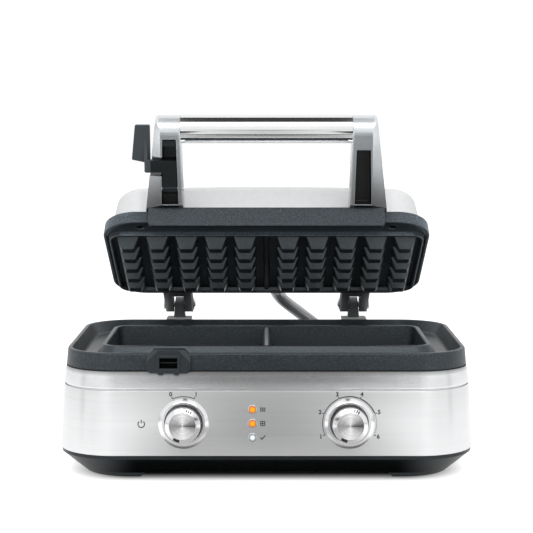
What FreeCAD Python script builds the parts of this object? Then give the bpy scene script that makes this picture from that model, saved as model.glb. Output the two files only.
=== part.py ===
import FreeCAD, Part
import math
import os

from FreeCAD import Placement, Rotation, Vector

# Two-slice waffle maker, in millimetres, Z up, X to the right, seen from the front along +Y.
# The origin lies on the table under the middle of the tray.

# Base body: plan at the lower edge of the steel band, heights above the table
BODY_WIDTH = 376.0
BODY_DEPTH = 240.0
BODY_CORNER = 53.0
WRAP_BOTTOM = 23.0
WRAP_HEIGHT = 58.0
WRAP_LEAN = 3.2
WRAP_SHEET = 1.0
COLLAR_HEIGHT = 18.0
COLLAR_LEAN = 2.65
COLLAR_WALL = 3.0
COLLAR_EDGE = 1.6
SHADOW_GAP = 0.8
SHADOW_DEPTH = 1.4
SHELF_CLEARANCE = 6.0

# Bottom cover and feet
COVER_BAND = 3.2
COVER_STEP = 0.8
COVER_WALL = 2.8
FOOT_SIDE_INSET = 22.0
FOOT_FRONT_INSET = 11.0
FOOT_CORNER = 45.0
ARCH_HEIGHT = 8.5
ARCH_SIDE_INSET = 82.0
ARCH_FRONT_INSET = 68.0
ARCH_FLARE = 8.6
ARCH_ROUND = 6.0
PAD_HEIGHT = 2.0
PAD_DIAMETER = 26.0
PAD_SIDE_INSET = 38.0
PAD_FRONT_INSET = 27.0

# Tray: outer rim, moat and well
RIM_HEIGHT = 15.0
RIM_LEAN = 1.45
RIM_EDGE = 3.8
MOAT_DEPTH = 11.5
MOAT_SLOPE = 7.0
MOAT_ROUND = 5.0
CASTING = 3.0
WELL_SIDE_MARGIN = 41.5
WELL_FRONT_MARGIN = 55.5
WELL_CORNER = 11.0
WELL_DROP = 33.0
WELL_DRAFT = 1.8
WELL_RIM = 4.3
DIVIDER_TOP = 5.0
DIVIDER_BASE = 9.0
DIVIDER_DROP = 1.8

# Studs that press the pockets
STUD_COLUMNS = 5
STUD_ROWS = 5
FIELD_MARGIN_X = 4.0
FIELD_MARGIN_Y = 5.875
GROOVE_X = 6.8
GROOVE_Y = 6.05
STUD_TAPER = 4.5
STUD_HEIGHT = 11.0
STUD_CORNER = 1.0

# Front panel controls
KNOB_X = 73.5
CONTROL_Z = 52.0
BEZEL_DIAMETER = 44.0
BEZEL_NECK = 36.8
BEZEL_BORE = 34.4
BEZEL_RISE = 3.0
BEZEL_BACK = 3.0
BEZEL_FLOOR = 1.2
BEZEL_CREST = 1.2
BEZEL_EDGE = 0.5
SHAFT_HOLE_CLEARANCE = 1.0
KNOB_DIAMETER = 31.4
KNOB_PROUD = 17.6
KNOB_CHAMFER = 2.0
KNOB_DRAFT = 0.3
KNOB_GAP = 1.0
SEAT_LIP = 0.5
CAP_DIAMETER = 23.2
CAP_THICKNESS = 1.0
CAP_DISH = 0.6
MARK_WIDTH = 4.2
NOTCH_WIDTH = 0.8
NOTCH_PITCH = 1.7
SHAFT_DIAMETER = 6.0
SHAFT_STUB = 2.0
SHAFT_END_PLAY = 0.5
KNOB_POINTS_AT = 23.5
SWITCH_SIZE = 26.0
SWITCH_DEPTH = 13.0
POT_DIAMETER = 24.0
BOARD_WIDTH = 172.0
BOARD_HEIGHT = 46.0
BOARD_THICKNESS = 1.6
LAMP_X = -12.4
LAMP_PITCH = 12.45
LAMP_DIAMETER = 5.6
LAMP_RING = 7.4
LAMP_PROUD = 1.0
LAMP_RING_RISE = 0.7
LAMP_RING_DRAFT = 0.3
RUNNING_CLEARANCE = 0.05
PRESS_CLEARANCE = 0.02
FIT_CLEARANCE = 0.2

# Inside the base
PILLAR_SIDE_INSET = 92.0
PILLAR_FRONT_INSET = 26.0
PILLAR_DIAMETER = 11.0
SCREW_DIAMETER = 4.0
SCREW_HEAD = 6.4
SCREW_HEAD_HEIGHT = 2.4
SCREW_LENGTH = 16.0
ELEMENT_DIAMETER = 6.6
ELEMENT_SIDE_INSET = 34.5
ELEMENT_FRONT_INSET = 22.5
ELEMENT_CORNER = 24.0
ELEMENT_GAP = 30.0
SHIELD_SHEET = 0.8
SHIELD_CLEARANCE = 4.0
SHIELD_DEPTH = 34.0
SHIELD_FLANGE = 3.0
SENSOR_DIAMETER = 16.0
SENSOR_HEIGHT = 9.0
FUSE_DIAMETER = 5.0
FUSE_LENGTH = 16.0
CLIP_SHEET = 1.0
CLIP_LENGTH = 8.0
POST_HEIGHT = 10.0
POST_DIAMETER = 8.0
POWER_BOARD_SIDE_INSET = 92.0
POWER_BOARD_BACK_INSET = 80.0
POWER_BOARD_WIDTH = 90.0
POWER_BOARD_DEPTH = 64.0
RELAY_WIDTH = 20.0
RELAY_DEPTH = 16.0
RELAY_HEIGHT = 16.0
CORE_WIDTH = 34.0
CORE_DEPTH = 28.0
CORE_HEIGHT = 26.0
TERMINAL_WIDTH = 42.0
TERMINAL_DEPTH = 18.0
TERMINAL_HEIGHT = 16.0
GLAND_SIDE_INSET = 128.0
GLAND_Z = 46.0
GLAND_FLANGE = 20.0
GLAND_NECK = 15.0
GLAND_BORE = 8.0
GLAND_PROUD = 5.0
GLAND_INNER = 6.0

# Hinge
HINGE_X = 90.0
HINGE_BEHIND = 10.0
HINGE_Z = 127.5
LID_OPEN = 29.45
PAD_TOP = 114.7
HOUSING_MARGIN = 14.0
HOUSING_LEDGE = 5.0
HOUSING_BACK = 8.5
HOUSING_ROUND = 3.0
HINGE_PAD_WIDTH = 25.4
UPRIGHT_FOOT = 11.4
UPRIGHT_TOP = 8.0
UPRIGHT_EYE = 7.5
UPRIGHT_FLARE = 0.6
LUG_INNER = 5.9
LUG_THICKNESS = 8.0
LUG_EYE = 8.0
LUG_WEB = 10.0
PIN_DIAMETER = 6.0
PIN_HEAD = 11.0
PIN_HEAD_HEIGHT = 2.0
CLIP_DIAMETER = 12.0
CLIP_THICKNESS = 1.2

# Lid, with the lid shut
SKIRT_PAST_SIDE = 4.5
SKIRT_PAST_FRONT = 22.9
SKIRT_PAST_BACK = 14.6
SKIRT_CORNER = 32.0
SKIRT_BOTTOM = 118.3
SKIRT_HEIGHT = 11.9
SKIRT_WALL = 2.6
SKIRT_LEAN = 1.2
SKIRT_ROUND = 1.6
LEDGE_WIDTH = 16.0
LEDGE_THICKNESS = 2.5
COVER_INSET_X = 6.9
COVER_INSET_Y = 9.8
COVER_CORNER = 30.0
COVER_RISE = 33.0
COVER_CROWN = 2.6
COVER_LEAN = 5.8
COVER_SHOULDER = 11.5
COVER_SHEET = 1.4
UPPER_RECESS = 0.5
UPPER_RIM_INSET = 1.0
UPPER_RIM_OUTSET = 2.0
UPPER_RIM_WALL = 3.2
UPPER_RIM_DROP = 4.0
UPPER_RIM_CORNER = 13.0
UPPER_RIDGE = 3.0
UPPER_SHIELD_HEIGHT = 15.0
UPPER_SHIELD_SIDE_INSET = 25.0
UPPER_SHIELD_FRONT_INSET = 25.25
UPPER_SHIELD_CORNER = 14.0
PLATE_SCREW_SIDE_INSET = 31.0
PLATE_SCREW_FRONT_INSET = 10.6
PLATE_SCREW_BACK_INSET = 14.1

# Handle: lip, arms and bar
LIP_HALF_WIDTH = 107.5
LIP_PROUD = 4.1
LIP_BELOW = 5.1
LIP_FLANGE = 1.2
LIP_ROUND = 4.0
ARM_LEAN = 40.0
ARM_FOOT_PROUD = 7.6
ARM_LENGTH = 69.2
ARM_THICKNESS = 27.0
ARM_INNER_FOOT = 75.6
ARM_INNER_TOP = 77.3
ARM_OUTER_FOOT = 109.2
ARM_OUTER_TOP = 100.8
ARM_FRONT_EDGE = 95.6
ARM_FACET_DEPTH = 5.0
ARM_CHAMFER = 1.2
ARM_BACK_CHAMFER = 4.5
ARM_END_DROP = 1.2
ARM_END_ROUND = 4.0
BAR_DIAMETER = 25.4
TENON_DIAMETER = 9.0
TENON_LENGTH = 10.0
KEY_LENGTH = 4.6
KEY_WIDTH = 4.2
KEY_PROUD = 0.7
CHANNEL_X = 87.4
CHANNEL_FOOT_WIDTH = 15.4
CHANNEL_TOP_WIDTH = 12.4
CHANNEL_BOTTOM = 2.2
CHANNEL_TOP_LEFT = 62.0
CHANNEL_TOP_RIGHT = 52.5
CHANNEL_DEPTH = 15.0

# Latch and its catch
LATCH_PIVOT = 16.0
LATCH_PIVOT_DEPTH = 4.8
LATCH_EYE = 4.6
LATCH_PIN_DIAMETER = 3.6
LATCH_PIN_GRIP = 5.0
LATCH_CLEARANCE = 0.6
LATCH_FACE = 0.8
LATCH_BACK = 12.6
BLOCK_TOP = 42.5
THROAT_DEPTH = 9.6
THROAT_TOP = 55.6
NOSE_TOP = 61.0
NECK_BOTTOM = 31.5
NECK_DEPTH = 8.0
NECK_REACH = 110.4
NECK_ROUND = 4.0
RIB_THICKNESS = 3.0
RIB_HEIGHT = 20.0
RIB_STEPS = 5
NECK_SLOT_CLEARANCE = 3.2
PADDLE_OUTER = 121.8
PADDLE_INNER = 105.0
PADDLE_BOTTOM = 39.6
PADDLE_TOP = 73.7
PADDLE_TAPER = 3.4
PADDLE_SLANT = 2.4
PADDLE_FACE = 8.2
PADDLE_THICKNESS = 3.6
PADDLE_ROUND = 1.2
CATCH_X = 86.6
CATCH_PROUD = 4.8
CATCH_FRAME_PROUD = 1.2
CATCH_HALF_WIDTH = 19.4
CATCH_HOOD = 3.5
CATCH_BELOW = 17.0
CATCH_CHAMFER = 5.5
CATCH_SADDLE = 3.0
CATCH_CLEARANCE = 0.4
FRAME_HALF_WIDTH = 10.3
FRAME_TOP_DROP = 1.6
CATCH_FACET = 3.2
CATCH_FACET_SPREAD = 2.3
TAB_OFFSET = 7.0
TAB_WIDTH = 4.2
TAB_DROP = 1.6
SLOT_HALF_WIDTH = 8.0
SLOT_TOP_DROP = 3.6
SLOT_HEIGHT = 9.4

# Conduit from the lid to the base
CONDUIT_DIAMETER = 12.5
CONDUIT_LID_X = 9.0
CONDUIT_GLAND_WIDTH = 22.0
CONDUIT_GLAND_HEIGHT = 18.0
CONDUIT_GLAND_LENGTH = 12.0
CONDUIT_NUT = 20.0
CONDUIT_NUT_HEIGHT = 7.0
CONDUIT_INSERT = 6.0
CONDUIT_LEAD = 14.0
CONDUIT_TURNS = (Vector(37.0, -4.5, 117.0), Vector(53.0, 0.0, 104.5), Vector(58.0, 0.5, 96.5))

# Sizes, heights and places that follow from the sizes above
WELL_WIDTH = BODY_WIDTH - 2 * WELL_SIDE_MARGIN
WELL_DEPTH = BODY_DEPTH - 2 * WELL_FRONT_MARGIN
COLUMN_PITCH = ((WELL_WIDTH - DIVIDER_TOP) / 2 - 2 * FIELD_MARGIN_X) / STUD_COLUMNS
ROW_PITCH = (WELL_DEPTH - 2 * FIELD_MARGIN_Y) / STUD_ROWS
STUD_BASE_X = COLUMN_PITCH - GROOVE_X
STUD_BASE_Y = ROW_PITCH - GROOVE_Y
STUD_TIP_X = STUD_BASE_X - 2 * STUD_TAPER
STUD_TIP_Y = STUD_BASE_Y - 2 * STUD_TAPER
ARCH_HALF_WIDTH = BODY_WIDTH / 2 - ARCH_SIDE_INSET
ARCH_HALF_DEPTH = BODY_DEPTH / 2 - ARCH_FRONT_INSET
PILLAR_X = BODY_WIDTH / 2 - PILLAR_SIDE_INSET
PILLAR_Y = BODY_DEPTH / 2 - PILLAR_FRONT_INSET
ELEMENT_HALF_X = WELL_WIDTH / 2 - ELEMENT_SIDE_INSET
ELEMENT_HALF_Y = WELL_DEPTH / 2 - ELEMENT_FRONT_INSET
GLAND_X = GLAND_SIDE_INSET - BODY_WIDTH / 2
POWER_BOARD_X = BODY_WIDTH / 2 - POWER_BOARD_SIDE_INSET
POWER_BOARD_Y = BODY_DEPTH / 2 - POWER_BOARD_BACK_INSET
HINGE_Y = BODY_DEPTH / 2 + HINGE_BEHIND
HOUSING_HALF_WIDTH = HINGE_X + HOUSING_MARGIN
SKIRT_WIDTH = WELL_WIDTH + 2 * SKIRT_PAST_SIDE
SKIRT_FRONT = WELL_DEPTH / 2 + SKIRT_PAST_FRONT
SKIRT_BACK = WELL_DEPTH / 2 + SKIRT_PAST_BACK
UPPER_RIM_WIDTH = WELL_WIDTH - 2 * UPPER_RIM_INSET
UPPER_RIM_DEPTH = WELL_DEPTH + 2 * UPPER_RIM_OUTSET
UPPER_SHIELD_WIDTH = SKIRT_WIDTH - 2 * UPPER_SHIELD_SIDE_INSET
UPPER_SHIELD_DEPTH = SKIRT_FRONT + SKIRT_BACK - 2 * UPPER_SHIELD_FRONT_INSET
PLATE_SCREW_X = WELL_WIDTH / 2 - PLATE_SCREW_SIDE_INSET
PLATE_SCREW_FRONT = SKIRT_FRONT - PLATE_SCREW_FRONT_INSET
PLATE_SCREW_BACK = SKIRT_BACK - PLATE_SCREW_BACK_INSET
CONDUIT_RUN = [turn + Vector(0, HINGE_Y, 0) for turn in CONDUIT_TURNS]
WRAP_TOP = WRAP_BOTTOM + WRAP_HEIGHT
COLLAR_TOP = WRAP_TOP + COLLAR_HEIGHT
RIM_TOP = COLLAR_TOP + RIM_HEIGHT
MOAT_FLOOR = RIM_TOP - MOAT_DEPTH
WELL_FLOOR = RIM_TOP - WELL_DROP
WELL_UNDERSIDE = WELL_FLOOR - CASTING
COVER_FLOOR = ARCH_HEIGHT + COVER_WALL
PANEL_TILT = math.degrees(math.atan2(WRAP_LEAN, WRAP_HEIGHT))
BOARD_FACE = -BEZEL_BACK - SWITCH_DEPTH
SKIRT_TOP = SKIRT_BOTTOM + SKIRT_HEIGHT
SKIRT_DEPTH = SKIRT_FRONT + SKIRT_BACK
SKIRT_Y = (SKIRT_BACK - SKIRT_FRONT) / 2
UPPER_FACE = SKIRT_BOTTOM + UPPER_RECESS
UPPER_BACK = UPPER_FACE + CASTING
LIP_FRONT = -SKIRT_FRONT - LIP_PROUD
LIP_TOP = SKIRT_TOP + LIP_FLANGE
ARM_FOOT = Vector(0, -SKIRT_FRONT - ARM_FOOT_PROUD, SKIRT_TOP)
ARM_PLACE = Placement(ARM_FOOT, Rotation(Vector(1, 0, 0), ARM_LEAN))
BAR_DEPTH = ARM_THICKNESS / 2
LUG_OUTER = LUG_INNER + LUG_THICKNESS
HOUSING_REAR = HINGE_Y + HOUSING_BACK
CELL_X = (WELL_WIDTH + DIVIDER_TOP) / 4
LEDGE_TOP = WRAP_TOP + SHADOW_GAP + HOUSING_LEDGE
CONDUIT_FOOT = Vector(CONDUIT_RUN[-1].x, CONDUIT_RUN[-1].y, LEDGE_TOP - HOUSING_LEDGE + 1)


def rounded_rectangle(width, depth, radius, z, x=0.0, y=0.0):
    """Closed outline of a rectangle with round corners, in a level plane."""
    half_x = width / 2
    half_y = depth / 2
    bow = radius * (1 - math.sqrt(0.5))
    edges = []
    for sx, sy in ((1, -1), (1, 1), (-1, 1), (-1, -1)):
        along_y = Vector(x + sx * half_x, y + sy * (half_y - radius), z)
        along_x = Vector(x + sx * (half_x - radius), y + sy * half_y, z)
        middle = Vector(x + sx * (half_x - bow), y + sy * (half_y - bow), z)
        corner = (along_x, middle, along_y) if sx * sy < 0 else (along_y, middle, along_x)
        edges.append((corner[0], Part.Arc(*corner).toShape(), corner[2]))
    outline = []
    for this, following in zip(edges, edges[1:] + edges[:1]):
        outline.append(this[1])
        outline.append(Part.makeLine(this[2], following[0]))
    return Part.Wire(outline)


def loft(outlines):
    """Solid through level outlines, straight from each to the next."""
    return Part.makeLoft(outlines, True, True)


def box(x0, x1, y0, y1, z0, z1):
    """Box between two corners."""
    return Part.makeBox(x1 - x0, y1 - y0, z1 - z0, Vector(x0, y0, z0))


def extrude_x(points, x0, x1):
    """Prism along X over a closed outline of (y, z) points."""
    outline = [Vector(x0, y, z) for y, z in points]
    face = Part.Face(Part.makePolygon(outline + outline[:1]))
    return face.extrude(Vector(x1 - x0, 0, 0))


def extrude_y(points, y0, y1):
    """Prism along Y over a closed outline of (x, z) points."""
    outline = [Vector(x, y0, z) for x, z in points]
    face = Part.Face(Part.makePolygon(outline + outline[:1]))
    return face.extrude(Vector(0, y1 - y0, 0))


def rod_x(diameter, x0, x1, y, z):
    """Cylinder along X."""
    return Part.makeCylinder(diameter / 2, x1 - x0, Vector(x0, y, z), Vector(1, 0, 0))


def rod_z(diameter, x, y, z0, z1):
    """Cylinder along Z."""
    return Part.makeCylinder(diameter / 2, z1 - z0, Vector(x, y, z0))


def turned(points):
    """Solid of revolution about Z over (radius, height) points."""
    outline = [Vector(radius, 0, height) for radius, height in points]
    face = Part.Face(Part.makePolygon(outline + outline[:1]))
    return face.revolve(Vector(), Vector(0, 0, 1), 360)


def fillet_where(shape, radius, test):
    """Round every edge whose bounding box passes the test."""
    return shape.makeFillet(radius, [edge for edge in shape.Edges if test(edge.BoundBox)])


def placed(shape, placement):
    """Copy of a shape moved from its own frame to the given place."""
    moved = shape.copy()
    moved.Placement = placement.multiply(moved.Placement)
    return moved


def opened(shape):
    """Copy of a lid piece turned from shut to its resting angle."""
    moved = shape.copy()
    moved.rotate(Vector(0, HINGE_Y, HINGE_Z), Vector(1, 0, 0), -LID_OPEN)
    return moved


def mirrored(shape):
    """The same piece on the other side of the middle plane."""
    return shape.mirror(Vector(), Vector(1, 0, 0))


def route(points, diameter, corner=None):
    """Round bar through points, with arcs as large as the runs allow or of one given radius."""
    edges = []
    bends = []
    start = points[0]
    for before, point, after in zip(points, points[1:], points[2:]):
        back = (before - point).normalize()
        ahead = (after - point).normalize()
        half_turn = (math.pi - back.getAngle(ahead)) / 2
        reach = 0.45 * min(before.distanceToPoint(point), after.distanceToPoint(point))
        if corner:
            reach = corner * math.tan(half_turn)
        bend = reach / math.tan(half_turn)
        bends.append(round(bend, 1))
        first = point + back * reach
        last = point + ahead * reach
        inward = (back + ahead).normalize()
        middle = point + inward * (bend / math.cos(half_turn) - bend)
        edges.append(Part.makeLine(start, first))
        edges.append(Part.Arc(first, middle, last).toShape())
        start = last
    edges.append(Part.makeLine(start, points[-1]))
    spine = Part.Wire(edges)
    ring = Part.makeCircle(diameter / 2, points[0], points[1] - points[0])
    bar = spine.makePipeShell([Part.Wire(ring)], True, False)
    straight = math.pi * diameter ** 2 / 4 * spine.Length
    print("bar", diameter, "bends", bends, "length", round(spine.Length, 1),
          "volume to section x length", round(bar.Volume / straight, 4))
    return bar


def body_inset(z):
    """How far the sides have leaned in at height z, from the band's lower edge."""
    heights = (WRAP_BOTTOM, WRAP_TOP, COLLAR_TOP, RIM_TOP)
    leans = (WRAP_LEAN, COLLAR_LEAN, RIM_LEAN)
    inset = 0.0
    for low, high, lean in zip(heights, heights[1:], leans):
        inset += lean * min(max((z - low) / (high - low), 0.0), 1.0)
    return inset


def body_outline(z, inward=0.0):
    """Plan of the body at height z, drawn in by a distance."""
    inset = body_inset(z) + inward
    return rounded_rectangle(BODY_WIDTH - 2 * inset, BODY_DEPTH - 2 * inset, BODY_CORNER - inset, z)


def body_skin():
    """Solid envelope of steel band, collar and tray, for pieces that seat against them."""
    return loft([body_outline(z) for z in (WRAP_BOTTOM, WRAP_TOP, COLLAR_TOP, RIM_TOP)])


def panel_place(x, z, side=-1):
    """Place on the front (-1) or rear (1) panel whose own Z axis points straight out of it."""
    y = side * (BODY_DEPTH / 2 - body_inset(z))
    return Placement(Vector(x, y, z), Rotation(Vector(1, 0, 0), -side * (90 - PANEL_TILT)))


def pillar_places():
    """The four screw pillars in plan."""
    return [(sx * PILLAR_X, sy * PILLAR_Y) for sx in (-1, 1) for sy in (-1, 1)]


def pad_places():
    """The four feet in plan."""
    x = BODY_WIDTH / 2 - FOOT_SIDE_INSET - PAD_SIDE_INSET
    y = BODY_DEPTH / 2 - FOOT_FRONT_INSET - PAD_FRONT_INSET
    return [(sx * x, sy * y) for sx in (-1, 1) for sy in (-1, 1)]


def power_post_places():
    """Posts under the corners of the power board."""
    x = POWER_BOARD_WIDTH / 2 - POST_DIAMETER / 2
    y = POWER_BOARD_DEPTH / 2 - POST_DIAMETER / 2
    return [(POWER_BOARD_X + sx * x, POWER_BOARD_Y + sy * y) for sx in (-1, 1) for sy in (-1, 1)]


def cover_outline(z, wall=0.0):
    """Plan of the bottom cover at height z, drawn in by a wall."""
    band_bottom = WRAP_BOTTOM - COVER_BAND
    share = max(band_bottom - z, 0.0) / (band_bottom - PAD_HEIGHT)
    side = COVER_STEP + share * (FOOT_SIDE_INSET - COVER_STEP) + wall
    front = COVER_STEP + share * (FOOT_FRONT_INSET - COVER_STEP) + wall
    top_corner = BODY_CORNER - COVER_STEP
    corner = top_corner + share * (FOOT_CORNER - top_corner) - wall
    return rounded_rectangle(BODY_WIDTH - 2 * side, BODY_DEPTH - 2 * front, corner, z)


def arch(half_width, half_length):
    """Flared tunnel along Y under the bottom cover, with round upper corners."""
    below = -ARCH_HEIGHT
    foot = half_width + ARCH_FLARE * 2
    outline = [(-foot, below), (-half_width, ARCH_HEIGHT), (half_width, ARCH_HEIGHT), (foot, below)]
    tunnel = extrude_y(outline, -half_length, half_length)

    def upper_corner(bounds):
        return bounds.ZMin > ARCH_HEIGHT / 2 and bounds.YLength > half_length

    return fillet_where(tunnel, ARCH_ROUND, upper_corner)


def bottom_cover():
    """Moulded pan with chamfered sides, standing on four corner feet."""
    band_bottom = WRAP_BOTTOM - COVER_BAND
    shape = loft([cover_outline(z) for z in (PAD_HEIGHT, band_bottom, WRAP_BOTTOM)])
    hollow = loft([cover_outline(z, COVER_WALL) for z in (COVER_FLOOR, band_bottom, WRAP_BOTTOM)])
    side_arch = arch(ARCH_HALF_DEPTH, BODY_WIDTH)
    side_arch.rotate(Vector(), Vector(0, 0, 1), 90)
    shape = shape.cut([hollow, arch(ARCH_HALF_WIDTH, BODY_DEPTH), side_arch])
    posts = [rod_z(POST_DIAMETER, x, y, COVER_FLOOR, COVER_FLOOR + POST_HEIGHT)
             for x, y in power_post_places()]
    holes = [rod_z(SCREW_DIAMETER + FIT_CLEARANCE, x, y, 0, WRAP_TOP) for x, y in pillar_places()]
    return shape.fuse(posts).cut(holes)


def foot_pads():
    """Rubber discs the machine stands on."""
    return Part.makeCompound([rod_z(PAD_DIAMETER, x, y, 0, PAD_HEIGHT) for x, y in pad_places()])


def body_wrap():
    """Steel band with the holes for bezels, lamps and cord gland."""
    heights = (WRAP_BOTTOM, WRAP_TOP)
    shape = loft([body_outline(z) for z in heights])
    shape = shape.cut(loft([body_outline(z, WRAP_SHEET) for z in heights]))
    depth = 4 * WRAP_SHEET
    holes = []
    for x in (-KNOB_X, KNOB_X):
        hole = rod_z(BEZEL_NECK + 2 * FIT_CLEARANCE, 0, 0, -depth, depth)
        holes.append(placed(hole, panel_place(x, CONTROL_Z)))
    for row in (-1, 0, 1):
        hole = rod_z(LAMP_DIAMETER, 0, row * LAMP_PITCH, -depth, depth)
        holes.append(placed(hole, panel_place(LAMP_X, CONTROL_Z)))
    gland = rod_z(GLAND_NECK, 0, 0, -depth, depth)
    holes.append(placed(gland, panel_place(GLAND_X, GLAND_Z, 1)))
    return shape.cut(holes)


def shelf_opening(z):
    """Opening of the collar's shelf, clear of the heat shield."""
    reach = CASTING + SHIELD_CLEARANCE + SHIELD_SHEET + SHELF_CLEARANCE
    return rounded_rectangle(WELL_WIDTH + 2 * reach, WELL_DEPTH + 2 * reach, WELL_CORNER + reach, z)


def shoulder_collar():
    """Ring that carries the tray: soft lower edge over a shadow line, shelf and four pillars."""
    step = WRAP_TOP + SHADOW_GAP
    shape = loft([body_outline(z) for z in (step, COLLAR_TOP)])
    shape = fillet_where(shape, COLLAR_EDGE, lambda bounds: bounds.ZMax < step + 0.01)
    shape = shape.fuse(loft([body_outline(WRAP_TOP, SHADOW_DEPTH), body_outline(step, SHADOW_DEPTH)]))
    shelf_bottom = COLLAR_TOP - COLLAR_WALL
    below = loft([body_outline(z, COLLAR_WALL) for z in (WRAP_TOP, shelf_bottom)])
    through = loft([shelf_opening(z) for z in (WRAP_TOP, COLLAR_TOP)])
    shape = shape.cut([below, through])
    pillars = [rod_z(PILLAR_DIAMETER, x, y, COVER_FLOOR, shelf_bottom) for x, y in pillar_places()]
    bores = [rod_z(SCREW_DIAMETER, x, y, COVER_FLOOR, COVER_FLOOR + SCREW_LENGTH)
             for x, y in pillar_places()]
    return shape.fuse(pillars).cut(bores + [catch_block(CATCH_CLEARANCE)])


def stud():
    """Tapered stud standing on the level plane."""
    low = rounded_rectangle(STUD_BASE_X, STUD_BASE_Y, STUD_CORNER, 0)
    high = rounded_rectangle(STUD_TIP_X, STUD_TIP_Y, STUD_CORNER, STUD_HEIGHT)
    return loft([low, high])


def stud_field(z, direction):
    """All studs of one plate, in two square fields, pointing up (1) or down (-1)."""
    pattern = stud()
    if direction < 0:
        pattern = pattern.mirror(Vector(), Vector(0, 0, 1))
    studs = []
    for side in (-1, 1):
        for column in range(STUD_COLUMNS):
            for row in range(STUD_ROWS):
                x = side * CELL_X + (column - (STUD_COLUMNS - 1) / 2) * COLUMN_PITCH
                y = (row - (STUD_ROWS - 1) / 2) * ROW_PITCH
                studs.append(placed(pattern, Placement(Vector(x, y, z), Rotation())))
    return studs


def well_outline(z, outward=0.0):
    """Plan of the well's inner wall at height z, drawn outward by a distance."""
    drop = min(max((RIM_TOP - z) / WELL_DROP, 0.0), 1.0)
    grow = outward - WELL_DRAFT * drop
    return rounded_rectangle(WELL_WIDTH + 2 * grow, WELL_DEPTH + 2 * grow, WELL_CORNER + grow, z)


def moat():
    """Hollow between the outer rim and the well, with round lower corners."""
    outer = loft([body_outline(MOAT_FLOOR, RIM_EDGE + MOAT_SLOPE), body_outline(RIM_TOP, RIM_EDGE)])
    mound = loft([well_outline(MOAT_FLOOR, WELL_RIM + MOAT_SLOPE), well_outline(RIM_TOP, WELL_RIM)])
    return fillet_where(outer.cut(mound), MOAT_ROUND, lambda bounds: bounds.ZMax < MOAT_FLOOR + 0.01)


def divider():
    """Ridge that parts the well in two, with a round top."""
    top = RIM_TOP - DIVIDER_DROP
    half = DIVIDER_TOP / 2
    foot = DIVIDER_BASE / 2
    outline = [(-foot, WELL_FLOOR), (foot, WELL_FLOOR), (half, top), (-half, top)]
    ridge = extrude_y(outline, -WELL_DEPTH / 2, WELL_DEPTH / 2)
    return fillet_where(ridge, half * 0.8, lambda b: b.ZMin > top - 0.01 and b.YLength > WELL_DEPTH / 2)


def lower_plate():
    """Cast tray: outer rim, moat, deep well, divider and lower studs."""
    shape = loft([body_outline(COLLAR_TOP), body_outline(RIM_TOP)]).cut(moat())
    shape = shape.fuse(loft([well_outline(WELL_UNDERSIDE, CASTING), well_outline(COLLAR_TOP, CASTING)]))
    shape = shape.cut(loft([well_outline(WELL_FLOOR), well_outline(RIM_TOP)]))
    reach = loft([well_outline(z, CASTING / 2) for z in (WELL_FLOOR, RIM_TOP)])
    ridge = divider().common(reach)
    return shape.fuse([ridge] + stud_field(WELL_FLOOR, 1)).removeSplitter()


def catch_block(grow):
    """Outer form of the latch catch, wider than the real one by a clearance."""
    half = CATCH_HALF_WIDTH + grow
    top = RIM_TOP + CATCH_HOOD
    low = RIM_TOP - CATCH_BELOW - grow
    cut = CATCH_CHAMFER
    outline = [(-half, low + cut / 2), (-half + cut / 2, low), (half - cut / 2, low), (half, low + cut / 2),
               (half, top - cut), (half - cut, top), (-half + cut, top), (-half, top - cut)]
    outline = [(x - CATCH_X, z) for x, z in outline]
    front = -BODY_DEPTH / 2 + body_inset(RIM_TOP) - CATCH_PROUD
    return extrude_y(outline, front, front + CATCH_PROUD + RIM_EDGE + CATCH_SADDLE)


def catch_facet(side):
    """Wedge that slants one upper corner of the catch's front."""
    top = RIM_TOP + CATCH_HOOD
    front = -BODY_DEPTH / 2 + body_inset(RIM_TOP) - CATCH_PROUD
    sections = []
    for y, cut in ((front - 1, CATCH_FACET_SPREAD * CATCH_CHAMFER), (front + CATCH_FACET, CATCH_CHAMFER)):
        corner = [(CATCH_HALF_WIDTH + 1, top - cut - 1), (CATCH_HALF_WIDTH + 1, top + 1),
                  (CATCH_HALF_WIDTH - cut - 1, top + 1)]
        points = [Vector(side * x - CATCH_X, y, z) for x, z in corner]
        sections.append(Part.makePolygon(points + points[:1]))
    return loft(sections)


def latch_catch():
    """Hooded catch that sits on the tray's rim, with a framed slot for the latch's nose."""
    front = -BODY_DEPTH / 2 + body_inset(RIM_TOP) - CATCH_PROUD
    frame_front = front - CATCH_FRAME_PROUD
    low = RIM_TOP - CATCH_BELOW
    slot_top = RIM_TOP - SLOT_TOP_DROP
    frame = box(-FRAME_HALF_WIDTH - CATCH_X, FRAME_HALF_WIDTH - CATCH_X,
                frame_front, front + CATCH_PROUD, low, RIM_TOP - FRAME_TOP_DROP)
    slot = box(-SLOT_HALF_WIDTH - CATCH_X, SLOT_HALF_WIDTH - CATCH_X,
               frame_front - 1, front + CATCH_PROUD + RIM_EDGE, slot_top - SLOT_HEIGHT, slot_top)
    tabs = []
    for x in (-CATCH_X - TAB_OFFSET, -CATCH_X + TAB_OFFSET):
        tabs.append(box(x - TAB_WIDTH / 2, x + TAB_WIDTH / 2, frame_front, front + CATCH_PROUD / 2,
                        low - TAB_DROP, low + TAB_DROP))
    hood = catch_block(0).cut([catch_facet(-1), catch_facet(1)])
    return hood.fuse([frame] + tabs).cut([slot, body_skin()]).removeSplitter()


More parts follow.
